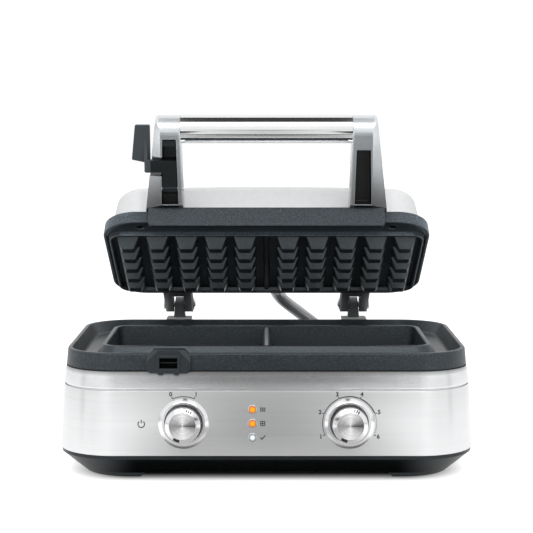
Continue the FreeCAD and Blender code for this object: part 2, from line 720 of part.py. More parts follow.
def bezel():
    """Dished ring round a knob, with a neck through the panel and a floor behind it."""
    rim = BEZEL_DIAMETER / 2
    neck = BEZEL_NECK / 2
    bore = BEZEL_BORE / 2
    eye = SHAFT_DIAMETER / 2 + SHAFT_HOLE_CLEARANCE
    crown = (rim + bore) / 2
    half_crest = BEZEL_CREST / 2
    floor = -BEZEL_BACK + BEZEL_FLOOR
    shape = turned([(eye, -BEZEL_BACK), (neck, -BEZEL_BACK), (neck, 0), (rim, 0), (rim, BEZEL_RISE / 4),
                    (crown + half_crest, BEZEL_RISE), (crown - half_crest, BEZEL_RISE),
                    (bore, BEZEL_RISE / 2), (bore, floor), (eye, floor)])

    def crown_edge(bounds):
        return bounds.ZMin > BEZEL_RISE - 0.01

    return fillet_where(shape, BEZEL_EDGE, crown_edge)


def knob_blank():
    """Turned knob, still without its mark and notches."""
    rim = KNOB_DIAMETER / 2
    seat = CAP_DIAMETER / 2
    low = -BEZEL_BACK + BEZEL_FLOOR + KNOB_GAP
    bore = SHAFT_DIAMETER / 2 + PRESS_CLEARANCE
    return turned([(bore, low), (rim, low), (rim - KNOB_DRAFT, KNOB_PROUD - KNOB_CHAMFER),
                   (seat + SEAT_LIP, KNOB_PROUD), (seat, KNOB_PROUD),
                   (seat, KNOB_PROUD - CAP_THICKNESS), (bore, KNOB_PROUD - CAP_THICKNESS)])


def knob_mark_block():
    """Block over the dark mark on the knob's rim, opposite the pointer."""
    rim = KNOB_DIAMETER / 2
    seat = CAP_DIAMETER / 2
    return box(-MARK_WIDTH / 2, MARK_WIDTH / 2, -rim - 1, -seat - SEAT_LIP,
               KNOB_PROUD - 2 * KNOB_CHAMFER, KNOB_PROUD + 1)


def knob():
    """Knob with a seat for the mark and three pointer notches, pointer upward."""
    rim = KNOB_DIAMETER / 2
    seat = CAP_DIAMETER / 2
    low = KNOB_PROUD - KNOB_CHAMFER * 1.5
    half = NOTCH_WIDTH / 2
    notches = [box(x - half, x + half, seat + SEAT_LIP, rim + 1, low, KNOB_PROUD + 1)
               for x in (-NOTCH_PITCH, 0, NOTCH_PITCH)]
    return knob_blank().cut([knob_mark_block()] + notches)


def knob_mark():
    """Dark inlay that fills its seat in the knob."""
    return knob_blank().common(knob_mark_block())


def knob_cap():
    """Thin disc on the knob's face, very slightly dished."""
    radius = CAP_DIAMETER / 2 - PRESS_CLEARANCE
    base = KNOB_PROUD - CAP_THICKNESS
    return turned([(0, base), (radius, base), (radius, KNOB_PROUD), (0, KNOB_PROUD - CAP_DISH)])


def knob_shaft():
    """Shaft from the switch or potentiometer up into the knob."""
    low = BOARD_FACE + SHAFT_STUB
    return rod_z(SHAFT_DIAMETER, 0, 0, low, KNOB_PROUD - CAP_THICKNESS)


def shaft_bore():
    """Bore in the body behind the panel, with a running fit on the shaft."""
    low = BOARD_FACE + SHAFT_STUB - SHAFT_END_PLAY
    return rod_z(SHAFT_DIAMETER + 2 * RUNNING_CLEARANCE, 0, 0, low, 1)


def power_switch():
    """Rotary switch body behind the power bezel."""
    half = SWITCH_SIZE / 2
    body = loft([rounded_rectangle(SWITCH_SIZE, SWITCH_SIZE, half / 4, z) for z in (BOARD_FACE, -BEZEL_BACK)])
    return body.cut(shaft_bore())


def dial_potentiometer():
    """Round potentiometer body behind the dial bezel."""
    return rod_z(POT_DIAMETER, 0, 0, BOARD_FACE, -BEZEL_BACK).cut(shaft_bore())


def control_board():
    """Board behind the panel that carries the switch, the potentiometer and the lamps."""
    half = BOARD_WIDTH / 2
    return box(-half, half, -BOARD_HEIGHT / 2, BOARD_HEIGHT / 2, BOARD_FACE - BOARD_THICKNESS, BOARD_FACE)


def lamp_ring():
    """Small raised ring round one lamp."""
    outer = LAMP_RING / 2
    inner = LAMP_DIAMETER / 2
    top = outer - LAMP_RING_DRAFT
    return turned([(inner, 0), (outer, 0), (top, LAMP_RING_RISE), (inner, LAMP_RING_RISE)])


def lamp_lens():
    """Light pipe from the board through the panel, with a domed end."""
    radius = LAMP_DIAMETER / 2 - PRESS_CLEARANCE
    pipe = rod_z(2 * radius, 0, 0, BOARD_FACE, LAMP_PROUD)
    return fillet_where(pipe, LAMP_PROUD * 0.6, lambda bounds: bounds.ZMin > LAMP_PROUD - 0.01)


def element_points(z):
    """Route of a heating element: a wide loop, open at the back."""
    x = ELEMENT_HALF_X
    y = ELEMENT_HALF_Y
    gap = ELEMENT_GAP / 2
    plan = ((gap, y), (x, y), (x, -y), (-x, -y), (-x, y), (-gap, y))
    return [Vector(px, py, z) for px, py in plan]


def element_clips(z, direction):
    """Straps that hold an element against its plate, above (1) or below (-1) it."""
    reach = ELEMENT_DIAMETER / 2 + FIT_CLEARANCE
    wide = reach + CLIP_SHEET
    tall = ELEMENT_DIAMETER + FIT_CLEARANCE
    low, high = sorted((0.0, direction * (tall + CLIP_SHEET)))
    low_slot, high_slot = sorted((0.0, direction * tall))
    clips = []
    for sx in (-1, 1):
        for y in (-ELEMENT_HALF_Y, ELEMENT_HALF_Y):
            x = sx * ELEMENT_HALF_X / 2
            half = CLIP_LENGTH / 2
            strap = box(x - half, x + half, y - wide, y + wide, z + low, z + high)
            slot = box(x - half, x + half, y - reach, y + reach, z + low_slot, z + high_slot)
            clips.append(strap.cut(slot))
    return Part.makeCompound(clips)


def lower_heat_shield():
    """Sheet pan round the well, hung by its flange under the moat."""
    inner = CASTING + SHIELD_CLEARANCE
    outer = inner + SHIELD_SHEET
    floor = COLLAR_TOP - SHIELD_DEPTH
    flange_z = COLLAR_TOP - SHIELD_SHEET
    shape = loft([well_outline(z, outer) for z in (floor, COLLAR_TOP)])
    edge = outer + SHIELD_FLANGE
    flange = loft([rounded_rectangle(WELL_WIDTH + 2 * edge, WELL_DEPTH + 2 * edge, WELL_CORNER + edge, z)
                   for z in (flange_z, COLLAR_TOP)])
    hollow = loft([well_outline(z, inner) for z in (floor + SHIELD_SHEET, COLLAR_TOP)])
    return shape.fuse(flange).cut(hollow)


def sensor(z, direction):
    """Thermostat disc on the back of a plate."""
    low, high = sorted((z, z + direction * SENSOR_HEIGHT))
    return rod_z(SENSOR_DIAMETER, 0, 0, low, high)


def thermal_fuse():
    """One-shot fuse lying against the well's floor."""
    x = SENSOR_DIAMETER
    return rod_x(FUSE_DIAMETER, x, x + FUSE_LENGTH, 0, WELL_UNDERSIDE - FUSE_DIAMETER / 2)


def power_board():
    """Level board on the bottom cover's posts."""
    z = COVER_FLOOR + POST_HEIGHT
    half_x = POWER_BOARD_WIDTH / 2
    half_y = POWER_BOARD_DEPTH / 2
    return box(POWER_BOARD_X - half_x, POWER_BOARD_X + half_x, POWER_BOARD_Y - half_y,
               POWER_BOARD_Y + half_y, z, z + BOARD_THICKNESS)


def board_block(x, width, depth, height):
    """Rounded component standing on the power board."""
    z = COVER_FLOOR + POST_HEIGHT + BOARD_THICKNESS
    sections = [rounded_rectangle(width, depth, width / 16, level, POWER_BOARD_X + x, POWER_BOARD_Y)
                for level in (z, z + height)]
    return loft(sections)


def terminal_block():
    """Mains terminals on the floor, behind the gland."""
    y = BODY_DEPTH / 2 - 2 * TERMINAL_DEPTH
    half = TERMINAL_WIDTH / 2
    block = box(GLAND_X - half, GLAND_X + half, y - TERMINAL_DEPTH / 2, y + TERMINAL_DEPTH / 2,
                COVER_FLOOR, COVER_FLOOR + TERMINAL_HEIGHT)
    wells = [rod_z(TERMINAL_WIDTH / 8, GLAND_X + i * TERMINAL_WIDTH / 3, y, COVER_FLOOR + TERMINAL_HEIGHT / 2,
                   COVER_FLOOR + TERMINAL_HEIGHT) for i in (-1, 0, 1)]
    return block.cut(wells)


def cord_gland():
    """Grommet in the rear panel for the mains cord."""
    bore = GLAND_BORE / 2
    neck = GLAND_NECK / 2
    flange = GLAND_FLANGE / 2
    shape = turned([(bore, -GLAND_INNER), (neck, -GLAND_INNER), (neck, 0), (flange, 0),
                    (flange, GLAND_PROUD / 2), (flange - GLAND_PROUD / 2, GLAND_PROUD), (bore, GLAND_PROUD)])
    return placed(shape, panel_place(GLAND_X, GLAND_Z, 1))


def base_screws():
    """Screws from below into the collar's pillars."""
    screws = []
    for x, y in pillar_places():
        head = rod_z(SCREW_HEAD, x, y, ARCH_HEIGHT - SCREW_HEAD_HEIGHT, ARCH_HEIGHT)
        stem = rod_z(SCREW_DIAMETER - 2 * PRESS_CLEARANCE, x, y, ARCH_HEIGHT, COVER_FLOOR + SCREW_LENGTH - 1)
        screws.append(head.fuse(stem))
    return Part.makeCompound(screws)


def rear_housing():
    """Ledge behind the collar with the two pads that carry the hinges."""
    front = BODY_DEPTH / 2 - body_inset(RIM_TOP) - 1
    low = LEDGE_TOP - HOUSING_LEDGE
    shape = box(-HOUSING_HALF_WIDTH, HOUSING_HALF_WIDTH, front, HOUSING_REAR, low, LEDGE_TOP)
    half = HINGE_PAD_WIDTH / 2
    pads = [box(x - half, x + half, front, HOUSING_REAR, low, PAD_TOP) for x in (-HINGE_X, HINGE_X)]
    shape = shape.fuse(pads).removeSplitter()

    def pad_corner(bounds):
        short = bounds.XLength < HINGE_PAD_WIDTH + 1
        return short and bounds.ZMax > PAD_TOP - 0.01 and bounds.YMin > front + 1

    shape = fillet_where(shape, HOUSING_ROUND, pad_corner)
    hole = rod_z(CONDUIT_DIAMETER + 2 * FIT_CLEARANCE, CONDUIT_FOOT.x, CONDUIT_FOOT.y, low - 1, LEDGE_TOP + 1)
    return shape.cut([body_skin(), hole])


def hinge_upright(x):
    """Tapered eye on a hinge pad."""
    foot = UPRIGHT_EYE + UPRIGHT_FLARE
    web = extrude_x([(HINGE_Y - foot, PAD_TOP), (HINGE_Y + foot, PAD_TOP), (HINGE_Y + UPRIGHT_EYE, HINGE_Z),
                     (HINGE_Y - UPRIGHT_EYE, HINGE_Z)], x - UPRIGHT_FOOT, x + UPRIGHT_FOOT)
    eye = rod_x(2 * UPRIGHT_EYE, x - UPRIGHT_FOOT, x + UPRIGHT_FOOT, HINGE_Y, HINGE_Z)
    wide = UPRIGHT_FOOT / 2
    narrow = UPRIGHT_TOP / 2
    top = HINGE_Z + UPRIGHT_EYE
    taper = extrude_y([(x - wide, PAD_TOP), (x + wide, PAD_TOP), (x + narrow, top), (x - narrow, top)],
                      HINGE_Y - 2 * foot, HINGE_Y + 2 * foot)
    bore = rod_x(PIN_DIAMETER + 2 * RUNNING_CLEARANCE, x - UPRIGHT_FOOT, x + UPRIGHT_FOOT, HINGE_Y, HINGE_Z)
    return web.fuse(eye).common(taper).cut(bore)


def hinge_bracket(x):
    """Twin lugs joined by a web, on the back of the skirt."""
    low = SKIRT_BOTTOM + UPPER_RECESS
    high = SKIRT_TOP - SKIRT_ROUND
    lugs = []
    for inner in (-LUG_OUTER, LUG_INNER):
        x0 = x + inner
        x1 = x0 + LUG_THICKNESS
        plate = extrude_x([(SKIRT_BACK, low), (HINGE_Y, HINGE_Z - LUG_EYE), (HINGE_Y, HINGE_Z + LUG_EYE),
                           (SKIRT_BACK, high)], x0, x1)
        lugs.append(plate.fuse(rod_x(2 * LUG_EYE, x0, x1, HINGE_Y, HINGE_Z)))
    web = box(x - LUG_OUTER, x + LUG_OUTER, SKIRT_BACK, SKIRT_BACK + LUG_WEB, low, high)
    bore = rod_x(PIN_DIAMETER + 2 * PRESS_CLEARANCE, x - 2 * LUG_OUTER, x + 2 * LUG_OUTER, HINGE_Y, HINGE_Z)
    return web.fuse(lugs).removeSplitter().cut([bore, skirt_solid()])


def hinge_pins():
    """Headed pins through lugs and uprights, heads on the outer sides."""
    pins = []
    for side in (-1, 1):
        x = side * HINGE_X
        ends = sorted((x + side * LUG_OUTER, x - side * (LUG_OUTER + 2 * CLIP_THICKNESS)))
        head = sorted((x + side * LUG_OUTER, x + side * (LUG_OUTER + PIN_HEAD_HEIGHT)))
        stem = rod_x(PIN_DIAMETER, ends[0], ends[1], HINGE_Y, HINGE_Z)
        pins.append(stem.fuse(rod_x(PIN_HEAD, head[0], head[1], HINGE_Y, HINGE_Z)))
    return Part.makeCompound(pins)


def pin_clips():
    """Toothed push-on washers on the inner ends of the pins."""
    clips = []
    for x in (-HINGE_X, HINGE_X):
        inward = -1 if x > 0 else 1
        ends = sorted((x + inward * LUG_OUTER, x + inward * (LUG_OUTER + CLIP_THICKNESS)))
        disc = rod_x(CLIP_DIAMETER, ends[0], ends[1], HINGE_Y, HINGE_Z)
        hole = rod_x(PIN_DIAMETER + 2 * PRESS_CLEARANCE, ends[0], ends[1], HINGE_Y, HINGE_Z)
        clips.append(disc.cut(hole))
    return Part.makeCompound(clips)


def skirt_outline(z, inward=0.0):
    """Plan of the skirt at height z, drawn in by a distance."""
    inset = SKIRT_LEAN * (z - SKIRT_BOTTOM) / SKIRT_HEIGHT + inward
    width = SKIRT_WIDTH - 2 * inset
    depth = SKIRT_DEPTH - 2 * inset
    return rounded_rectangle(width, depth, SKIRT_CORNER - inset, z, 0, SKIRT_Y)


def skirt_solid():
    """Outer form of the skirt with its round shoulder."""
    shape = loft([skirt_outline(z) for z in (SKIRT_BOTTOM, SKIRT_TOP)])
    return fillet_where(shape, SKIRT_ROUND, lambda bounds: bounds.ZMin > SKIRT_TOP - 0.01)


def arm_screw_places():
    """Screws up through the ledge into the handle arms."""
    y = -SKIRT_FRONT + SKIRT_WALL + SKIRT_LEAN + SCREW_HEAD / 2 + FIT_CLEARANCE
    return [(-CHANNEL_X, y), (CHANNEL_X, y)]


def lid_frame():
    """Dark skirt with an inner ledge that carries the cover."""
    shape = skirt_solid()
    ledge_bottom = SKIRT_TOP - LEDGE_THICKNESS
    below = loft([skirt_outline(z, SKIRT_WALL) for z in (SKIRT_BOTTOM, ledge_bottom)])
    window = loft([skirt_outline(z, LEDGE_WIDTH) for z in (SKIRT_BOTTOM, SKIRT_TOP)])
    hole = SCREW_DIAMETER + FIT_CLEARANCE
    holes = [rod_z(hole, x, y, SKIRT_BOTTOM, LIP_TOP) for x, y in arm_screw_places()]
    bosses = []
    for x, y in plate_screw_places():
        boss = rod_z(2 * SCREW_DIAMETER, x, y, UPPER_BACK, ledge_bottom)
        bosses.append(boss.cut(rod_z(SCREW_DIAMETER, x, y, UPPER_BACK, ledge_bottom)))
    return shape.cut([below, window]).fuse(bosses).cut(holes)


def cover_solid(inward=0.0):
    """Crowned lid cover as a full solid, drawn in by its sheet for the hollow."""
    def outline(z):
        lean = COVER_LEAN * (z - SKIRT_TOP) / COVER_RISE + inward
        width = SKIRT_WIDTH - 2 * (COVER_INSET_X + lean)
        depth = SKIRT_DEPTH - 2 * (COVER_INSET_Y + lean)
        return rounded_rectangle(width, depth, COVER_CORNER - lean, z, 0, SKIRT_Y)

    top = SKIRT_TOP + COVER_RISE + COVER_CROWN
    half = SKIRT_WIDTH / 2 - COVER_INSET_X
    left = Vector(-half, -SKIRT_DEPTH, top - COVER_CROWN - inward)
    right = Vector(half, -SKIRT_DEPTH, top - COVER_CROWN - inward)
    crown = Part.Arc(left, Vector(0, -SKIRT_DEPTH, top - inward), right).toShape()
    down = Vector(0, 0, SKIRT_BOTTOM - top)
    sides = Part.makePolygon([right, right + down, left + down, left])
    vault = Part.Face(Part.Wire([crown] + sides.Edges)).extrude(Vector(0, 2 * SKIRT_DEPTH, 0))
    shape = loft([outline(SKIRT_TOP), outline(top)]).common(vault)
    high = SKIRT_TOP + COVER_RISE / 2
    return fillet_where(shape, COVER_SHOULDER - inward, lambda bounds: bounds.ZMin > high)


def lid_cover():
    """Pressed silver cover."""
    return cover_solid().cut(cover_solid(COVER_SHEET))


def plate_screw_places():
    """Screws in the border of the upper plate."""
    return [(sx * PLATE_SCREW_X, y) for sx in (-1, 1) for y in (-PLATE_SCREW_FRONT, PLATE_SCREW_BACK)]


def upper_rim(z, inward=0.0):
    """Plan of the rim round the upper studs."""
    return rounded_rectangle(UPPER_RIM_WIDTH - 2 * inward, UPPER_RIM_DEPTH - 2 * inward,
                             UPPER_RIM_CORNER - inward, z)


def upper_plate():
    """Cast plate of the lid: flat border, rim, low middle ridge and upper studs."""
    edge = SKIRT_WALL + FIT_CLEARANCE
    shape = loft([skirt_outline(z, edge) for z in (UPPER_FACE, UPPER_BACK)])
    rim_low = UPPER_FACE - UPPER_RIM_DROP
    rim = loft([upper_rim(z) for z in (rim_low, UPPER_FACE)])
    rim = rim.cut(loft([upper_rim(rim_low, UPPER_RIM_WALL - 1), upper_rim(UPPER_FACE, UPPER_RIM_WALL)]))
    half = UPPER_RIM_DEPTH / 2 - UPPER_RIM_WALL
    crest = UPPER_RIDGE / 2
    low = UPPER_FACE - UPPER_RIDGE
    ridge = extrude_y([(-UPPER_RIDGE, UPPER_FACE), (UPPER_RIDGE, UPPER_FACE), (crest, low), (-crest, low)],
                      -half, half)
    shape = shape.fuse([rim, ridge] + stud_field(UPPER_FACE, -1)).removeSplitter()
    seats = []
    for x, y in plate_screw_places():
        seats.append(rod_z(SCREW_HEAD + FIT_CLEARANCE, x, y, UPPER_FACE, UPPER_FACE + SCREW_HEAD_HEIGHT))
        seats.append(rod_z(SCREW_DIAMETER + FIT_CLEARANCE, x, y, UPPER_FACE, UPPER_BACK))
    return shape.cut(seats)


def plate_screws():
    """Countersunk-looking screws that hold the upper plate, heads just below its face."""
    screws = []
    for x, y in plate_screw_places():
        seat = UPPER_FACE + SCREW_HEAD_HEIGHT
        head = rod_z(SCREW_HEAD, x, y, UPPER_FACE + UPPER_RECESS, seat)
        stem = rod_z(SCREW_DIAMETER - 2 * PRESS_CLEARANCE, x, y, seat, SKIRT_TOP - LEDGE_THICKNESS)
        screws.append(head.fuse(stem))
    return Part.makeCompound(screws)


def upper_heat_shield():
    """Inverted sheet pan over the upper element, standing on the plate."""
    top = UPPER_BACK + UPPER_SHIELD_HEIGHT

    def outline(z, inward):
        return rounded_rectangle(UPPER_SHIELD_WIDTH - 2 * inward, UPPER_SHIELD_DEPTH - 2 * inward,
                                 UPPER_SHIELD_CORNER - inward, z)

    shape = loft([outline(z, 0) for z in (UPPER_BACK, top)])
    return shape.cut(loft([outline(z, SHIELD_SHEET) for z in (UPPER_BACK, top - SHIELD_SHEET)]))


def handle_lip():
    """Dark bar across the front of the lid with a thin flange over the skirt."""
    low = SKIRT_BOTTOM - LIP_BELOW
    back = SKIRT_Y - SKIRT_DEPTH / 2 + COVER_INSET_Y
    shape = box(-LIP_HALF_WIDTH, LIP_HALF_WIDTH, LIP_FRONT, back, low, LIP_TOP)

    def lower_corner(bounds):
        return bounds.ZMax < low + 0.01 and bounds.XLength < 1

    shape = fillet_where(shape, LIP_ROUND, lower_corner)
    under = box(-BODY_WIDTH, BODY_WIDTH, -SKIRT_FRONT + SKIRT_ROUND, 0, 0, SKIRT_TOP)
    hole = SCREW_DIAMETER + FIT_CLEARANCE
    holes = [rod_z(hole, x, y, SKIRT_BOTTOM, LIP_TOP + 1) for x, y in arm_screw_places()]
    block = loft([skirt_outline(z) for z in (SKIRT_BOTTOM, SKIRT_TOP)])
    skirt_front = box(-BODY_WIDTH, BODY_WIDTH, -SKIRT_FRONT, 0, 0, SKIRT_BOTTOM)
    return shape.cut([block.fuse(skirt_solid()), under, skirt_front, cover_solid()] + holes)


def channel(top):
    """Channel along an arm's front, narrower towards the bar, in the arm's own frame."""
    share = (top - CHANNEL_BOTTOM) / (CHANNEL_TOP_LEFT - CHANNEL_BOTTOM)
    top_width = CHANNEL_FOOT_WIDTH + share * (CHANNEL_TOP_WIDTH - CHANNEL_FOOT_WIDTH)
    return loft([rounded_rectangle(width, 2 * CHANNEL_DEPTH, 1.0, s, -CHANNEL_X)
                 for width, s in ((CHANNEL_FOOT_WIDTH, CHANNEL_BOTTOM), (top_width, top))])


def arm_prism():
    """Left handle arm before its end is rounded, in its own frame: X across, Y into the arm, Z along it."""
    def section(s):
        share = s / ARM_LENGTH
        inner = -ARM_INNER_FOOT - share * (ARM_INNER_TOP - ARM_INNER_FOOT)
        outer = -ARM_OUTER_FOOT - share * (ARM_OUTER_TOP - ARM_OUTER_FOOT)
        back = ARM_THICKNESS - ARM_BACK_CHAMFER
        corners = [(inner - ARM_CHAMFER, 0), (-ARM_FRONT_EDGE, 0), (outer, ARM_FACET_DEPTH), (outer, back),
                   (outer + ARM_BACK_CHAMFER, ARM_THICKNESS), (inner - ARM_BACK_CHAMFER, ARM_THICKNESS),
                   (inner, back), (inner, ARM_CHAMFER)]
        points = [Vector(x, depth, s) for x, depth in corners]
        return Part.makePolygon(points + points[:1])

    return loft([section(-ARM_THICKNESS), section(ARM_LENGTH + ARM_THICKNESS)])


def arm_prisms():
    """Both arms, to trim what meets their inner faces."""
    return [arm_prism(), mirrored(arm_prism())]


def arm_blank():
    """Left arm with its end rounded about the bar and at the outer corner."""
    top = ARM_LENGTH - ARM_END_DROP
    side = box(-BODY_WIDTH, 0, 0, ARM_THICKNESS, -ARM_THICKNESS, top)
    end = rod_x(ARM_THICKNESS, -ARM_OUTER_TOP, 0, BAR_DEPTH, top)
    end = fillet_where(end, ARM_END_ROUND, lambda bounds: bounds.XMax < -ARM_OUTER_TOP + 0.01)
    return arm_prism().common(side.fuse(end))


def handle_arm(top):
    """Left arm with channel, bar socket and screw hole, seated on lip and cover."""
    end = -ARM_INNER_TOP - TENON_LENGTH - FIT_CLEARANCE
    socket = rod_x(TENON_DIAMETER + 2 * PRESS_CLEARANCE, end, 0, BAR_DEPTH, ARM_LENGTH)
    shape = placed(arm_blank().cut([channel(top), socket]), ARM_PLACE)
    below = box(-BODY_WIDTH, BODY_WIDTH, -BODY_WIDTH, BODY_WIDTH, 0, LIP_TOP)
    top_of_hole = LIP_TOP + SCREW_LENGTH / 2
    holes = [rod_z(SCREW_DIAMETER, x, y, LIP_TOP - 1, top_of_hole) for x, y in arm_screw_places()]
    return shape.cut([below, cover_solid()] + holes)


def handle_arm_left():
    """Left arm, also cut for the latch's neck and pin."""
    slot = box(-BODY_WIDTH, -CHANNEL_X, -1, PADDLE_FACE + PADDLE_THICKNESS + LATCH_CLEARANCE,
               NECK_BOTTOM - NECK_SLOT_CLEARANCE, BLOCK_TOP + NECK_SLOT_CLEARANCE)
    reach = CHANNEL_FOOT_WIDTH / 2 + LATCH_PIN_GRIP
    hole = rod_x(LATCH_PIN_DIAMETER + 2 * PRESS_CLEARANCE, -CHANNEL_X - reach, -CHANNEL_X + reach,
                 LATCH_PIVOT_DEPTH, LATCH_PIVOT)
    return handle_arm(CHANNEL_TOP_LEFT).cut([placed(slot, ARM_PLACE), placed(hole, ARM_PLACE)])


def grip_bar():
    """Chrome bar that ends on the arms' inner faces, with a tenon into each arm."""
    reach = ARM_INNER_TOP + TENON_LENGTH
    bar = rod_x(BAR_DIAMETER, -reach, reach, BAR_DEPTH, ARM_LENGTH).cut(arm_prisms())
    bar = max(bar.Solids, key=lambda solid: solid.Volume)
    return placed(bar.fuse(rod_x(TENON_DIAMETER, -reach, reach, BAR_DEPTH, ARM_LENGTH)), ARM_PLACE)


def grip_keys():
    """Round-ended tabs that lock the bar against the arms."""
    radius = BAR_DIAMETER / 2
    bar = rod_x(BAR_DIAMETER, -BODY_WIDTH, BODY_WIDTH, BAR_DEPTH, ARM_LENGTH)
    keys = []
    for side in (-1, 1):
        centre = side * (ARM_INNER_TOP - KEY_LENGTH + KEY_WIDTH / 2)
        ends = sorted((side * (ARM_INNER_TOP + ARM_BACK_CHAMFER), centre))
        tab = rod_z(KEY_WIDTH, centre, 0, 0, radius + KEY_PROUD)
        tab = tab.fuse(box(ends[0], ends[1], -KEY_WIDTH / 2, KEY_WIDTH / 2, 0, radius + KEY_PROUD))
        tab.rotate(Vector(), Vector(1, 0, 0), 180 - ARM_LEAN)
        tab.translate(Vector(0, BAR_DEPTH, ARM_LENGTH))
        keys.append(tab.cut([bar] + arm_prisms()))
    return placed(Part.makeCompound(keys), ARM_PLACE)


def arm_screws():
    """Screws that hold lip and arms to the ledge of the skirt."""
    screws = []
    for x, y in arm_screw_places():
        ledge = SKIRT_TOP - LEDGE_THICKNESS
        head = rod_z(SCREW_HEAD, x, y, ledge - SCREW_HEAD_HEIGHT, ledge)
        stem = rod_z(SCREW_DIAMETER - 2 * PRESS_CLEARANCE, x, y, ledge, LIP_TOP + SCREW_LENGTH / 2 - 1)
        screws.append(head.fuse(stem))
    return Part.makeCompound(screws)


def latch_pin():
    """Pivot pin across the left channel."""
    reach = CHANNEL_FOOT_WIDTH / 2 + LATCH_PIN_GRIP - FIT_CLEARANCE
    pin = rod_x(LATCH_PIN_DIAMETER, -CHANNEL_X - reach, -CHANNEL_X + reach, LATCH_PIVOT_DEPTH, LATCH_PIVOT)
    return placed(pin, ARM_PLACE)


def latch_lever():
    """Hook that lies in the left channel, with a neck out to a finger paddle."""
    eye_low = LATCH_PIVOT - LATCH_EYE
    outline = [(LATCH_FACE, LATCH_PIVOT), (LATCH_FACE, BLOCK_TOP), (THROAT_DEPTH, BLOCK_TOP + 2),
               (THROAT_DEPTH, THROAT_TOP), (LATCH_FACE / 2, THROAT_TOP), (LATCH_FACE * 2, NOSE_TOP),
               (LATCH_BACK, NOSE_TOP), (LATCH_BACK, LATCH_PIVOT + LATCH_EYE),
               (LATCH_PIVOT_DEPTH + LATCH_EYE, LATCH_PIVOT)]
    hook = extrude_x(outline, -CHANNEL_X - CHANNEL_FOOT_WIDTH, -CHANNEL_X + CHANNEL_FOOT_WIDTH)
    eye = rod_x(2 * LATCH_EYE, -CHANNEL_X - CHANNEL_FOOT_WIDTH, -CHANNEL_X + CHANNEL_FOOT_WIDTH,
                LATCH_PIVOT_DEPTH, LATCH_PIVOT)
    slim = 2 * LATCH_CLEARANCE

    def section(s):
        share = (s - CHANNEL_BOTTOM) / (CHANNEL_TOP_LEFT - CHANNEL_BOTTOM)
        width = CHANNEL_FOOT_WIDTH + share * (CHANNEL_TOP_WIDTH - CHANNEL_FOOT_WIDTH) - slim
        return rounded_rectangle(width, 4 * CHANNEL_DEPTH, 0.5, s, -CHANNEL_X)

    body = hook.fuse(eye).common(loft([section(eye_low - 1), section(NOSE_TOP + 1)]))
    paddle_back = PADDLE_FACE + PADDLE_THICKNESS
    neck = box(-PADDLE_INNER, -CHANNEL_X, LATCH_FACE, NECK_DEPTH, NECK_BOTTOM, BLOCK_TOP)
    knuckle = box(-NECK_REACH, -PADDLE_INNER, LATCH_FACE, paddle_back, NECK_BOTTOM, BLOCK_TOP)

    def outer_front(bounds):
        return bounds.XMax < -NECK_REACH + 0.01 and bounds.YMax < LATCH_FACE + 0.01

    knuckle = fillet_where(knuckle, NECK_ROUND, outer_front)
    plate = [(-PADDLE_INNER, PADDLE_BOTTOM), (-PADDLE_INNER, PADDLE_TOP),
             (PADDLE_TAPER - PADDLE_OUTER, PADDLE_TOP), (-PADDLE_OUTER, PADDLE_BOTTOM + PADDLE_SLANT),
             (-NECK_REACH, PADDLE_BOTTOM)]
    paddle = extrude_y(plate, PADDLE_FACE, paddle_back)
    paddle = fillet_where(paddle, PADDLE_ROUND, lambda b: b.XLength < 0.01 and b.ZLength < 0.01)
    rib_foot = PADDLE_FACE - LATCH_FACE - NECK_ROUND
    rise = [k / RIB_STEPS for k in range(RIB_STEPS + 1)]
    rib_side = [(PADDLE_FACE - rib_foot * (1 - t) ** 2, BLOCK_TOP + RIB_HEIGHT * t) for t in rise]
    rib_side.append((PADDLE_FACE, BLOCK_TOP))
    rib = extrude_x(rib_side, -NECK_REACH, -NECK_REACH + RIB_THICKNESS)
    bore = rod_x(LATCH_PIN_DIAMETER + 2 * RUNNING_CLEARANCE, -BODY_WIDTH, 0, LATCH_PIVOT_DEPTH, LATCH_PIVOT)
    return placed(body.fuse([neck, knuckle, paddle, rib]).removeSplitter().cut(bore), ARM_PLACE)


def conduit_gland_lid():
    """Block on the back of the skirt that the conduit leaves from."""
    half = CONDUIT_GLAND_WIDTH / 2
    low = SKIRT_BOTTOM + UPPER_RECESS
    mouth = SKIRT_BACK + CONDUIT_GLAND_LENGTH
    block = box(CONDUIT_LID_X - half, CONDUIT_LID_X + half, SKIRT_BACK - SKIRT_LEAN, mouth,
                low, low + CONDUIT_GLAND_HEIGHT)
    above = box(-BODY_WIDTH, BODY_WIDTH, 0, SKIRT_BACK, SKIRT_TOP - SKIRT_ROUND, LIP_TOP + BODY_WIDTH)
    centre = Vector(CONDUIT_LID_X, mouth, low + CONDUIT_GLAND_HEIGHT / 2)
    bore = Part.makeCylinder(CONDUIT_DIAMETER / 2 + FIT_CLEARANCE, CONDUIT_INSERT, centre, Vector(0, -1, 0))
    return block.cut([skirt_solid(), above, bore])


def conduit_gland_base():
    """Nut round the conduit on the housing's ledge."""
    x = CONDUIT_FOOT.x
    y = CONDUIT_FOOT.y
    nut = rod_z(CONDUIT_NUT, x, y, LEDGE_TOP, LEDGE_TOP + CONDUIT_NUT_HEIGHT)
    bore = rod_z(CONDUIT_DIAMETER + 2 * FIT_CLEARANCE, x, y, LEDGE_TOP, LEDGE_TOP + CONDUIT_NUT_HEIGHT)
    return nut.cut(bore)


